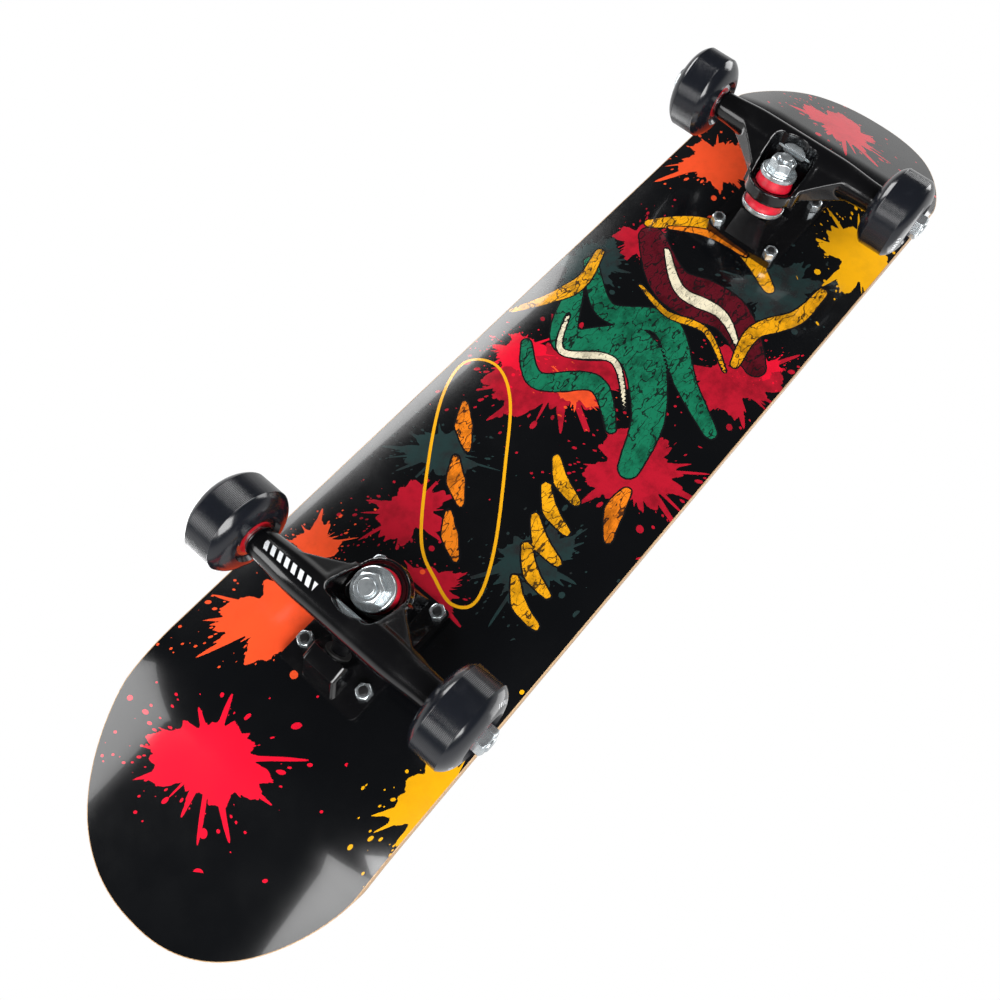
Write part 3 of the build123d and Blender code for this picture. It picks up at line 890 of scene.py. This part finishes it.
@dataclass(frozen=True)
class Loop:
    """Closed outline through a few points; its field is the signed distance from the line."""

    ink: Ink
    points: tuple[tuple[float, float], ...]
    samples: int = 12

    def field(self, place: np.ndarray) -> np.ndarray:
        """Signed distance, positive inside the loop.

        Args:
            place: Places on the print, in millimetres.

        Returns:
            A distance for each place.
        """
        closed = (*self.points, *self.points[:3])
        line = smooth_line(closed, self.samples)[self.samples:-self.samples]
        inside = np.zeros(len(place), bool)
        nearest = np.full(len(place), 1e3)
        for (ax, ay), (bx, by) in zip(line[:-1], line[1:]):
            nearest = np.minimum(nearest, from_segment(place, (ax, ay), (bx, by))[1])
            crossing = (ay > place[:, 1]) != (by > place[:, 1])
            cut = (bx - ax) * (place[:, 1] - ay) / (by - ay if by != ay else 1e-9) + ax
            inside ^= crossing & (place[:, 0] < cut)
        return np.where(inside, nearest, -nearest)


def smooth_line(points: Sequence[tuple[float, float]], samples: int) -> np.ndarray:
    """Catmull-Rom curve through points.

    Args:
        points: The points.
        samples: Points made between two of them.

    Returns:
        A row for each point of the curve.
    """
    p = np.array([points[0], *points, points[-1]], float)
    share = np.linspace(0, 1, samples, endpoint=False)[:, None]
    spans = []
    for a, b, c, d in zip(p[:-3], p[1:-2], p[2:-1], p[3:]):
        spans.append(0.5 * (2 * b + (c - a) * share + (2 * a - 5 * b + 4 * c - d) * share ** 2
                            + (3 * b - a - 3 * c + d) * share ** 3))
    return np.vstack([*spans, p[-1:]])


CLOUDS = SplatLayer("clouds", (
    Splat(Ink.SMOKE, 76, -66, 21, 1.3, 20, 1.0),
    Splat(Ink.SMOKE, 142, 40, 24, 1.4, 40, 1.0),
    Splat(Ink.SMOKE, -88, -44, 17, 1.5, 50, 1.0),
    Splat(Ink.SMOKE, -104, 38, 19, 1.6, 10, 1.0),
    Splat(Ink.CRIMSON, 2, -26, 36, 1.35, 30, 0.9),
    Splat(Ink.CRIMSON, 66, 56, 24, 1.3, 60, 0.9),
    Splat(Ink.CRIMSON, -22, 48, 27, 1.3, 50, 0.9),
    Splat(Ink.CRIMSON, -126, -32, 19, 1.3, 20, 0.8),
    Splat(Ink.CRIMSON, -152, 6, 13, 1.5, 60, 0.8),
    Splat(Ink.CRIMSON, 112, -52, 15, 1.3, 0, 0.9),
))

BURSTS = SplatLayer("bursts", (
    Splat(Ink.ORANGE, 204, -54, 26, 1.2, 60, 0.25),
    Splat(Ink.ORANGE, -212, -42, 25, 1.35, 35, 0.25),
    Splat(Ink.ORANGE, -174, -58, 13, 1.3, 20, 0.3),
    Splat(Ink.ORANGE, -4, -12, 10, 1.8, 80, 0.6),
    Splat(Ink.RED, -285, -18, 27, 1.3, 55, 0.15),
    Splat(Ink.RED, -6, -56, 13, 1.3, 60, 0.4),
    Splat(Ink.RED, 316, -12, 26, 1.5, 100, 0.35),
    Splat(Ink.YELLOW, 200, 66, 25, 1.4, 120, 0.2),
    Splat(Ink.YELLOW, -228, 84, 20, 1.5, 0, 0.2),
    Splat(Ink.RED, 88, 66, 8, 1.5, 30, 0.4),
))

STROKES: tuple[Stroke | Loop, ...] = (
    # wide ribbons that swing across the middle of the board
    Stroke(Ink.MAROON, ((120, -48), (98, -14), (104, 26), (84, 60)), (16, 34, 14)),
    Stroke(Ink.GREEN, ((52, -58), (20, -38), (44, -4), (14, 30), (-24, 44)), (10, 28, 12)),
    Stroke(Ink.GREEN, ((78, -66), (54, -34), (70, 0), (44, 36), (28, 66)), (8, 18, 8)),
    Stroke(Ink.GREEN, ((2, -56), (-14, -34), (8, -6), (-10, 20)), (6, 13, 6)),
    Stroke(Ink.CREAM, ((118, -34), (98, -8), (101, 22), (88, 44)), (3, 9, 2)),
    Stroke(Ink.CREAM, ((36, -50), (12, -36), (28, -8), (6, 18)), (1.5, 5, 1.5)),
    Stroke(Ink.GOLD, ((128, -56), (150, -30), (154, 2), (138, 34)), (6, 16, 7)),
    Stroke(Ink.GOLD, ((16, -80), (40, -66), (62, -60), (88, -66)), (3, 10, 5)),
    Stroke(Ink.GOLD, ((76, 50), (104, 46), (132, 60), (160, 62)), (5, 11, 6)),
    Stroke(Ink.GOLD, ((84, -30), (78, -4), (84, 22), (68, 48)), (2, 5, 2)),
    # a row of slanted bars
    Stroke(Ink.GOLD, ((-46, 8), (-56, 20), (-60, 34)), (4, 8.5, 5)),
    Stroke(Ink.GOLD, ((-64, 15), (-74, 27), (-78, 42)), (5, 8.5, 4)),
    Stroke(Ink.GOLD, ((-82, 22), (-92, 35), (-95, 49)), (4, 9, 5)),
    Stroke(Ink.GOLD, ((-99, 30), (-109, 42), (-113, 57)), (5, 8.5, 4)),
    Stroke(Ink.GOLD, ((-117, 37), (-127, 49), (-130, 63)), (4, 8, 4)),
    # a long ring with a few dashes in it
    Loop(Ink.OUTLINE, ((-22, -60), (-34, -38), (-68, -12), (-112, 18), (-140, 30), (-150, 22), (-146, 6),
                       (-134, -16), (-96, -46), (-58, -70), (-32, -76))),
    Stroke(Ink.AMBER, ((-54, -56), (-66, -46), (-76, -34)), (3, 10, 3)),
    Stroke(Ink.AMBER, ((-84, -36), (-95, -26), (-104, -14)), (3, 10, 3)),
    Stroke(Ink.AMBER, ((-112, -16), (-122, -6), (-130, 6)), (3, 9, 3)),
    Stroke(Ink.AMBER, ((-36, 52), (-50, 54), (-66, 62)), (5, 11, 4)),
    Stroke(Ink.AMBER, ((134, -44), (148, -20), (149, 8)), (2, 6, 2)),
)


@dataclass(frozen=True)
class DeckShape:
    """Surfaces of the deck: a flat middle with curled rails, and a kick at each end."""

    bottom: float = 0.078
    half_width: float = 0.0825
    flat_half: float = 0.045
    rail_rise: float = 0.0045
    bend_radius: float = 0.088
    kick: float = math.radians(23.5)
    bends: tuple[float, float] = (-0.2525, 0.2475)
    tips: tuple[float, float] = (-0.3685, 0.3685)
    power_along: float = 1.5
    power_across: float = 2.3

    def rows(self, flat: int, bend: int, kick: int, inset: float) -> np.ndarray:
        """Rows from tail to nose: place along the bent path and half of the width there.

        Args:
            flat: Rows of the flat middle.
            bend: Rows of each bend.
            kick: Rows of each kick.
            inset: How far the edge is drawn in.

        Returns:
            A row of path and half width for each.
        """
        middle_path = np.linspace(self.bends[0], self.bends[1], flat + 1)
        wide = self.half_width - inset
        path, half = [middle_path], [np.full(flat + 1, wide)]
        for index, side in enumerate((-1, 1)):
            arc = self.bend_radius * self.kick
            run = abs(self.tips[index]) - abs(self.bends[index]) - self.bend_radius * math.sin(self.kick)
            length = run / math.cos(self.kick) - inset
            turn = np.linspace(0, math.pi / 2, kick + 1)[1:]
            over = np.concatenate([arc * np.arange(1, bend + 1) / bend,
                                   arc + length * np.sin(turn) ** (2 / self.power_along)])
            widths = np.concatenate([np.full(bend, wide), wide * np.cos(turn) ** (2 / self.power_across)])
            path.insert(2 * index, (side * (abs(self.bends[index]) + over))[::side])
            half.insert(2 * index, widths[::side])
        return np.stack([np.concatenate(path), np.maximum(np.concatenate(half), 0.0)], axis=1)

    def points(self, path: np.ndarray, y: np.ndarray, level: float) -> np.ndarray:
        """Points of the surface that lies some level above the underside.

        Args:
            path: Places along the bent path.
            y: Places across the board.
            level: Height above the underside.

        Returns:
            A row for each point.
        """
        radius = ((self.half_width - self.flat_half) ** 2 + self.rail_rise ** 2) / (2 * self.rail_rise)
        reach = np.maximum(np.abs(y) - self.flat_half, 0)
        height = radius - np.sqrt((radius - level) ** 2 - reach ** 2)
        bend = np.where(path > 0, self.bends[1], -self.bends[0])
        over = np.maximum(np.abs(path) - bend, 0)
        angle = np.minimum(over / self.bend_radius, self.kick)
        slide = np.maximum(over - self.bend_radius * self.kick, 0)
        inner = self.bend_radius - height
        x = np.minimum(np.abs(path), bend) + inner * np.sin(angle) + slide * math.cos(self.kick)
        z = self.bottom + self.bend_radius - inner * np.cos(angle) + slide * math.sin(self.kick)
        return np.stack([np.sign(path) * x, y, z], axis=1)


@dataclass
class DeckLayer:
    """One closed layer of the deck between two levels."""

    name: str
    low: float
    high: float
    shape: DeckShape = DeckShape()
    flat_rows: int = 10
    bend_rows: int = 10
    kick_rows: int = 32
    columns: int = 34
    inset: float = 0.0

    def build(self) -> bpy.types.Object:
        """Make a grid, give it a back, and lay both sheets on the deck's surfaces.

        Returns:
            The closed layer.
        """
        rows = self.shape.rows(self.flat_rows, self.bend_rows, self.kick_rows, self.inset)
        bpy.ops.object.select_all(action="DESELECT")
        bpy.ops.mesh.primitive_grid_add(x_subdivisions=len(rows) - 1, y_subdivisions=self.columns, size=2.0)
        piece = bpy.context.active_object
        piece.name = self.name
        piece.data.name = self.name
        grid = vertices(piece)
        order = np.lexsort((grid[:, 1], grid[:, 0]))
        add_modifier(piece, "SOLIDIFY", thickness=0.1, offset=-1.0)
        path = np.repeat(rows[:, 0], self.columns + 1)
        y = np.outer(rows[:, 1], np.linspace(-1, 1, self.columns + 1)).ravel()
        place = np.empty((2 * len(order), 3))
        place[order] = self.shape.points(path, y, self.high)
        place[len(order) + order] = self.shape.points(path, y, self.low)
        piece.data.vertices.foreach_set("co", place.astype(np.float32).ravel())
        piece.data.update()
        activate(piece)
        bpy.ops.object.mode_set(mode="EDIT")
        bpy.ops.mesh.select_all(action="SELECT")
        bpy.ops.mesh.remove_doubles(threshold=1e-6)
        bpy.ops.mesh.normals_make_consistent(inside=False)
        bpy.ops.object.mode_set(mode="OBJECT")
        return piece


@dataclass
class BoltHoles:
    """Cutter for the eight bolt holes and their countersinks."""

    shaft: float = 0.00275
    head: float = 0.00495
    head_radius: float = 0.00465
    sink: float = 0.0870
    top: float = 0.0892
    past: float = 0.004

    def build(self) -> bpy.types.Object:
        """Make the cutter as one piece of eight plugs.

        Returns:
            The cutter.
        """
        plugs = []
        for end in End:
            low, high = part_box(f"{end.value}_mounting_bolts")
            for x in (low.x + self.head_radius, high.x - self.head_radius):
                for y in (low.y + self.head_radius, high.y - self.head_radius):
                    base = DeckShape.bottom - self.past
                    outline = [(0.0, base), (self.shaft, base), (self.shaft, self.sink),
                               (self.head, self.top), (self.head, self.top + self.past),
                               (0.0, self.top + self.past)]
                    plugs.append(spun("plug", outline, Vector((x, y, 0)), Vector((0, 0, 1)), 32))
        bpy.ops.object.select_all(action="DESELECT")
        for plug in plugs:
            plug.select_set(True)
        bpy.context.view_layer.objects.active = plugs[0]
        bpy.ops.object.join()
        return plugs[0]


@dataclass
class PrintFilm(DeckLayer):
    """Lacquer film that carries the print, just under the lowest ply."""

    name: str = "deck_print"
    low: float = -0.00008
    high: float = -0.00002
    flat_rows: int = 250
    bend_rows: int = 18
    kick_rows: int = 44
    columns: int = 84
    inset: float = 0.0005

    def paint(self, piece: bpy.types.Object) -> None:
        """Write the splashes and each brushed ink's signed distance to the mesh.

        Args:
            piece: The film.
        """
        place = vertices(piece)[:, :2] / MM
        for layer in (CLOUDS, BURSTS):
            layer.write(piece, place)
        for ink in BRUSHED:
            distance = np.full(len(place), -60.0)
            for mark in STROKES:
                if mark.ink is ink:
                    distance = np.maximum(distance, mark.field(place))
            store(piece, ink.value, distance * MM)


# ---------------------------------------------------------------- deck
@dataclass
class Deck:
    """Plies, grip tape and printed film."""

    ply_count: int = 7
    ply: float = 0.0015
    grip: float = 0.00066
    cross_plies: tuple[int, ...] = (3, 5)

    def build(self) -> None:
        """Make the layers, open the bolt holes and dress the pieces."""
        long_grain = Maple("maple_long").build()
        cross_grain = Maple("maple_cross", (0.50, 0.30, 0.14), (0.25, 0.12, 0.05), True).build()
        cutter = BoltHoles().build()
        for number in range(1, self.ply_count + 1):
            layer = DeckLayer(f"maple_ply_{number}", (number - 1) * self.ply, number * self.ply)
            material = cross_grain if number in self.cross_plies else long_grain
            self.lay(layer, f"deck_ply_{number}", cutter, Slot.MAPLE, material)
        top = self.ply_count * self.ply
        self.lay(DeckLayer("grip_sheet", top, top + self.grip), "grip_tape", cutter, Slot.GRIP, GripTape().build())
        film = PrintFilm()
        piece = film.build()
        add_modifier(piece, "BOOLEAN", object=cutter, operation="DIFFERENCE", solver="EXACT")
        film.paint(piece)
        finish_piece(piece, "deck", PrintedLacquer().build(), 40)
        bpy.data.objects.remove(cutter)

    @staticmethod
    def lay(layer: DeckLayer, node: str, cutter: bpy.types.Object, slot: Slot,
            material: bpy.types.Material) -> None:
        """Build one layer in place of its CAD node.

        Args:
            layer: The layer's sizes.
            node: The CAD node that it stands for.
            cutter: The bolt holes.
            slot: Not used.
            material: Its material.
        """
        piece = layer.build()
        add_modifier(piece, "BOOLEAN", object=cutter, operation="DIFFERENCE", solver="EXACT")
        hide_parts(node)
        finish_piece(piece, "deck", material, 40)


def dress(piece: bpy.types.Object, material: bpy.types.Material) -> None:
    """Give a CAD node a material."""
    piece.data.materials.clear()
    piece.data.materials.append(material)


# ---------------------------------------------------------------- trucks
@dataclass
class Finishes:
    """Materials that several pieces share."""

    casting: bpy.types.Material = field(default_factory=lambda: GlossCasting().build())
    printed_casting: bpy.types.Material = field(
        default_factory=lambda: GlossCasting("printed_black_casting", bars=True).build())
    zinc: bpy.types.Material = field(default_factory=lambda: ZincPlate().build())
    black_steel: bpy.types.Material = field(
        default_factory=lambda: PlainMetal("black_steel", (0.02, 0.02, 0.021), 0.4, 0.34).build())
    bearing: bpy.types.Material = field(
        default_factory=lambda: PlainMetal("bearing_steel", (0.62, 0.63, 0.65)).build())
    cage: bpy.types.Material = field(
        default_factory=lambda: PlainMetal("cage_steel", (0.45, 0.42, 0.36), 1.0, 0.3).build())
    bushing: bpy.types.Material = field(
        default_factory=lambda: CastUrethane("bushing_red", (0.74, 0.012, 0.035), (0.50, 0.006, 0.02),
                                             0.36, 0.12).build())
    shield: bpy.types.Material = field(
        default_factory=lambda: CastUrethane("shield_red", (0.55, 0.010, 0.02), (0.30, 0.006, 0.012)).build())
    cup: bpy.types.Material = field(
        default_factory=lambda: CastUrethane("cup_black", (0.012, 0.012, 0.012), (0.02, 0.02, 0.02), 0.5).build())
    urethane: bpy.types.Material = field(default_factory=lambda: WheelUrethane().build())


@dataclass
class Truck:
    """One truck: castings, kingpin stack and fasteners."""

    end: End
    finishes: Finishes
    voxel: float = 0.00055
    soften: int = 14
    bar_slant: float = 0.55
    print_span: tuple[float, float] = (-0.0330, 0.0170)
    print_half_height: float = 0.0022
    print_drop: float = 0.0060
    plate_edge: float = 0.0009
    flat_angle: float = math.radians(1.0)
    sharp_angle: float = math.radians(32)
    bevel: float = 0.00025
    worn: tuple[str, ...] = ("kingpin_nut", "mounting_nuts", "axle_nuts", "top_washer", "bottom_washer")
    worn_voxel: float = 0.00024
    wear: int = 4
    bushing_voxel: float = 0.0006
    bushing_soften: int = 8

    def node(self, name: str) -> str:
        """Full name of one of this truck's CAD nodes."""
        return f"{self.end.value}_{name}"

    @property
    def hanger_body(self) -> str:
        """Name of the body that steers."""
        return self.node("hanger")

    def build(self) -> None:
        """Make and dress every piece of the truck."""
        self.cast_hanger()
        self.plate()
        for name in ("kingpin_nut", "mounting_nuts", "kingpin", "top_washer", "bottom_washer"):
            self.hardware(name, "deck", self.finishes.zinc)
        self.hardware("mounting_bolts", "deck", self.finishes.black_steel)
        for name in ("axle_nuts", "axle", "speed_washers"):
            self.hardware(name, self.hanger_body, self.finishes.zinc)
        self.bushing("lower_bushing", "bottom_washer")
        self.bushing("upper_bushing", "top_washer")
        for name, material in (("pivot_cup", self.finishes.cup), ("inner_rings", self.finishes.bearing),
                               ("bearing_spacers", self.finishes.zinc)):
            dress(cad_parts[self.node(name)], material)

    def cast_hanger(self) -> None:
        """Hanger casting with its corners run together as a mould leaves them."""
        node = self.node("hanger")
        piece = cad_copy(node, self.node("hanger_casting"))
        add_modifier(piece, "REMESH", mode="VOXEL", voxel_size=self.voxel, adaptivity=0.0)
        add_modifier(piece, "SMOOTH", factor=0.5, iterations=self.soften)
        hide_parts(node)
        co = vertices(piece)
        low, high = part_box(self.node("axle"))
        centre = (np.array(low) + np.array(high)) / 2
        side = 1.0 if self.end is End.FRONT else -1.0
        away = (co[:, 0] - centre[0]) * side
        store(piece, "print_along", co[:, 1] * side + self.bar_slant * away)
        middle_y, half_span = self.print_span
        inside = np.minimum(half_span - np.abs(co[:, 1] - middle_y), self.print_half_height - np.abs(away))
        inside = np.minimum(inside, centre[2] - co[:, 2] - self.print_drop)
        store(piece, "print_area", inside)
        material = self.finishes.printed_casting if self.end is End.REAR else self.finishes.casting
        finish_piece(piece, self.hanger_body, material, 60)

    def plate(self) -> None:
        """Base plate casting with rounded edges."""
        node = self.node("baseplate")
        piece = cad_copy(node, self.node("baseplate_casting"))
        self.round_edges(piece, self.plate_edge, 3)
        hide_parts(node)
        finish_piece(piece, "deck", self.finishes.casting, 40)

    def round_edges(self, piece: bpy.types.Object, width: float, segments: int) -> None:
        """Join flat triangles, then bevel the sharp edges.

        Args:
            piece: The piece.
            width: Width of the bevel.
            segments: Steps of the bevel.
        """
        activate(piece)
        bpy.ops.object.mode_set(mode="EDIT")
        bpy.ops.mesh.select_all(action="SELECT")
        bpy.ops.mesh.dissolve_limited(angle_limit=self.flat_angle)
        bpy.ops.object.mode_set(mode="OBJECT")
        add_modifier(piece, "BEVEL", width=width, segments=segments, limit_method="ANGLE",
                     angle_limit=self.sharp_angle, use_clamp_overlap=True, harden_normals=False)

    def hardware(self, name: str, body: str, material: bpy.types.Material) -> None:
        """Fastener or washer with its sharp edges worn round.

        Args:
            name: The CAD node's name without the truck's end.
            body: The body that it rides on.
            material: Its material.
        """
        node = self.node(name)
        piece = cad_copy(node, self.node(f"{name}_finished"))
        if name in self.worn:
            low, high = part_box(node)
            add_modifier(piece, "REMESH", mode="VOXEL", voxel_size=self.worn_voxel, adaptivity=0.0)
            add_modifier(piece, "SMOOTH", factor=0.5, iterations=self.wear)
            piece.data.transform(fitted(piece, low, high))
        else:
            self.round_edges(piece, self.bevel, 2)
        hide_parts(node)
        finish_piece(piece, body, material, 60 if name in self.worn else 35)

    def bushing(self, name: str, washer: str) -> None:
        """Bushing between the washer and the hanger, with its shape softened; it rides on no body.

        Args:
            name: The CAD node's name without the truck's end.
            washer: Not used.
        """
        node = self.node(name)
        piece = cad_copy(node, self.node(f"{name}_urethane"))
        add_modifier(piece, "REMESH", mode="VOXEL", voxel_size=self.bushing_voxel, adaptivity=0.0)
        add_modifier(piece, "SMOOTH", factor=0.5, iterations=self.bushing_soften)
        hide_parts(node)
        finish_piece(piece, "", self.finishes.bushing, 50)
        self.hanger_body
        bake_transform(piece)


def fitted(piece: bpy.types.Object, low: Vector, high: Vector) -> Matrix:
    """Small scaling that keeps a piece inside a box.

    Args:
        piece: The piece.
        low: Low corner of the box.
        high: High corner of the box.

    Returns:
        The scaling about the middle of the box.
    """
    co = vertices(piece)
    made_low, made_high = Vector(co.min(axis=0)), Vector(co.max(axis=0))
    centre = (low + high) / 2
    made_centre = (made_low + made_high) / 2
    size, made = high - low, made_high - made_low
    scale = Matrix.Diagonal([min(1.0, size[axis] / made[axis]) for axis in range(3)]).to_4x4()
    return Matrix.Translation(centre) @ scale @ Matrix.Translation(-made_centre)


# ---------------------------------------------------------------- wheels
@dataclass
class Wheel:
    """One wheel with its bearings."""

    end: End
    side: Side
    finishes: Finishes
    tread_half: float = 0.0075
    shoulder_radius: float = 0.0136
    core_radius: float = 0.0124
    dish: float = 0.0024
    bulge_in: float = 0.38
    bulge_up: float = 0.64
    seat_radius: float = 0.011
    web_radius: float = 0.0092
    web_half: float = 0.005
    ridge_pitch: float = 0.00075
    ridge_depth: float = 0.00010
    face_steps: int = 18

    def node(self, name: str) -> str:
        """Full name of one of this wheel's CAD nodes."""
        return f"{self.end.value}_{self.side.value}_{name}"

    def build(self) -> None:
        """Make the casting and dress the bearings."""
        node = self.node("wheel")
        low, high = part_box(node)
        centre = (low + high) / 2
        outwards = Vector((0, 1 if self.side is Side.LEFT else -1, 0))
        radius = (high.z - low.z) / 2
        half = (high.y - low.y) / 2
        piece = spun(self.node("wheel_casting"), self.profile(radius, half), centre, outwards)
        local = (vertices(piece) - np.array(centre)) * np.array([1, outwards.y, 1])
        store(piece, "local", local)
        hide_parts(node)
        finish_piece(piece, self.node("wheel"), self.finishes.urethane, 38)
        for name, material in (("outer_rings", self.finishes.bearing), ("balls", self.finishes.bearing),
                               ("ball_cages", self.finishes.cage), ("bearing_shields", self.finishes.shield)):
            dress(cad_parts[self.node(name)], material)

    def profile(self, radius: float, half: float) -> list[tuple[float, float]]:
        """Half-section of the wheel, from the web round the outer face, the tread and the inner face.

        Args:
            radius: Radius of the tread.
            half: Half of the wheel's width.

        Returns:
            Closed outline of (radius, height) points.
        """
        face = [(self.web_radius, self.web_half), (self.seat_radius, self.web_half),
                (self.seat_radius, half - self.dish), (self.core_radius, half - self.dish)]
        inner = np.array([self.shoulder_radius, half])
        outer = np.array([radius, self.tread_half])
        bulge = np.array([radius - self.bulge_in * (radius - self.shoulder_radius),
                          self.tread_half + self.bulge_up * (half - self.tread_half)])
        pull = 2 * bulge - (inner + outer) / 2
        for step in range(self.face_steps + 1):
            t = step / self.face_steps
            point = (1 - t) ** 2 * inner + 2 * t * (1 - t) * pull + t ** 2 * outer
            face.append((float(point[0]), float(point[1])))
        tread = []
        count = int(2 * self.tread_half / self.ridge_pitch)
        for index in range(1, 4 * count):
            along = self.tread_half - 2 * self.tread_half * index / (4 * count)
            wave = 0.5 - 0.5 * math.cos(2 * math.pi * index / 4)
            tread.append((radius - self.ridge_depth * wave, along))
        other = [(r, -h) for r, h in reversed(face)]
        return face + tread + other


# ---------------------------------------------------------------- studio
@dataclass(frozen=True)
class SoftBox:
    """Square soft light: where it stands, its side in metres, its power in watts and the point that it faces."""

    name: str
    place: tuple[float, float, float]
    size: float
    power: float
    aim: tuple[float, float, float] = (0.0, 0.0, 0.05)

    def build(self) -> None:
        """Add the light to the scene."""
        data = bpy.data.lights.new(self.name, "AREA")
        data.size = self.size
        data.energy = self.power
        light = bpy.data.objects.new(self.name, data)
        light.location = self.place
        light.rotation_euler = (Vector(self.aim) - Vector(self.place)).to_track_quat("-Z", "Y").to_euler()
        bpy.context.scene.collection.objects.link(light)


LIGHTS = (
    SoftBox("key_below", (-0.9, 1.1, -1.1), 1.1, 40),
    SoftBox("fill_below", (0.7, -1.9, -0.9), 1.3, 44),
    SoftBox("tail_glow", (-1.25, -0.95, -0.45), 0.7, 6.5, (-0.3, 0.0, 0.08)),
    SoftBox("nose_glow", (1.7, 0.5, -0.30), 0.8, 12, (0.3, 0.0, 0.08)),
    SoftBox("edge_strip", (-1.3, 0.35, -0.75), 0.5, 5),
    SoftBox("key_above", (-0.6, -1.2, 1.6), 1.2, 17),
    SoftBox("rim_above", (0.9, 1.3, 1.3), 1.2, 9),
)


@dataclass
class Studio:
    """Pale floor, soft lights and the camera."""

    camera_at: tuple[float, float, float] = (-0.2239, 0.1214, -0.3521)
    camera_turn: tuple[float, float, float] = (-157.639, 3.259, 50.290)
    lens: float = 29.698
    shift: tuple[float, float] = (-0.0532, 0.0089)
    floor_gap: float = 0.0002
    floor_clear: float = 0.7
    floor_reach: float = 2.4
    floor_tones: tuple[Colour, Colour] = ((0.80, 0.80, 0.80), (0.76, 0.76, 0.765))

    def build(self) -> None:
        """Set up the camera, the floor and the lights."""
        scene = bpy.context.scene
        scene.view_settings.view_transform = "Standard"
        data = bpy.data.cameras.new("camera")
        data.lens = self.lens
        data.sensor_width = 36.0
        data.shift_x, data.shift_y = self.shift
        data.clip_start = 0.01
        camera = bpy.data.objects.new("camera", data)
        camera.location = self.camera_at
        camera.rotation_euler = [math.radians(angle) for angle in self.camera_turn]
        scene.collection.objects.link(camera)
        scene.camera = camera
        self.floor()
        self.world()
        for light in LIGHTS:
            light.build()

    def floor(self) -> None:
        """Floor under the wheels; seen from beneath it is clear, and it blocks no light."""
        bpy.ops.object.select_all(action="DESELECT")
        bpy.ops.mesh.primitive_plane_add(size=12.0)
        floor = bpy.context.active_object
        floor.data.transform(Matrix.Translation((0, 0, CAD_BOX[0].z - self.floor_gap)))
        floor.name = "floor"
        g = Graph("floor_paper")
        tone = g.mix(g.ramp(g.noise(3, 3, 0.5), 0.3, 0.8), *self.floor_tones)
        g.set(Base_Color=tone, Roughness=0.8)
        clear = g.add("ShaderNodeBsdfTransparent")
        choose = g.add("ShaderNodeMixShader")
        x, y = (g.part(g.place, axis) for axis in "XY")
        away = g.math("SQRT", g.math("ADD", g.math("MULTIPLY", x, x), g.math("MULTIPLY", y, y)))
        fade = g.ramp(away, self.floor_clear, self.floor_reach)
        behind = g.add("ShaderNodeNewGeometry").outputs["Backfacing"]
        g.feed(choose.inputs[0], g.math("MAXIMUM", behind, fade))
        g.feed(choose.inputs[1], g.shader.outputs[0])
        g.feed(choose.inputs[2], clear.outputs[0])
        g.feed(g.tree.nodes["Material Output"].inputs["Surface"], choose.outputs[0])
        dress(floor, g.material)
        for ray in ("shadow", "diffuse", "glossy", "transmission"):
            setattr(floor, f"visible_{ray}", False)

    def world(self) -> None:
        """White backdrop; as a light it is bright at the horizon and dim below."""
        world = bpy.data.worlds.new("studio")
        bpy.context.scene.world = world
        world.use_nodes = True
        tree = world.node_tree
        ground = tree.nodes["Background"]
        place = tree.nodes.new("ShaderNodeTexCoord")
        split = tree.nodes.new("ShaderNodeSeparateXYZ")
        tree.links.new(place.outputs["Generated"], split.inputs[0])
        level = tree.nodes.new("ShaderNodeMapRange")
        level.interpolation_type = "SMOOTHSTEP"
        tree.links.new(split.outputs["Z"], level.inputs[0])
        for index, value in ((1, -0.16), (2, 0.22), (3, 0.035), (4, 0.70)):
            level.inputs[index].default_value = value
        ray = tree.nodes.new("ShaderNodeLightPath")
        pick = tree.nodes.new("ShaderNodeMix")
        tree.links.new(ray.outputs["Is Camera Ray"], pick.inputs[0])
        tree.links.new(level.outputs[0], pick.inputs[2])
        pick.inputs[3].default_value = 1.0
        tree.links.new(pick.outputs[0], ground.inputs["Strength"])
        ground.inputs["Color"].default_value = (1.0, 1.0, 1.0, 1.0)


def main() -> None:
    """Build the board in order, then the studio."""
    logging.basicConfig(level=logging.INFO, format="%(message)s")
    finishes = Finishes()
    Deck().build()
    for end in End:
        Truck(end, finishes).build()
        for side in Side:
            Wheel(end, side, finishes).build()
    Studio().build()


if __name__ == "__main__":
    main()
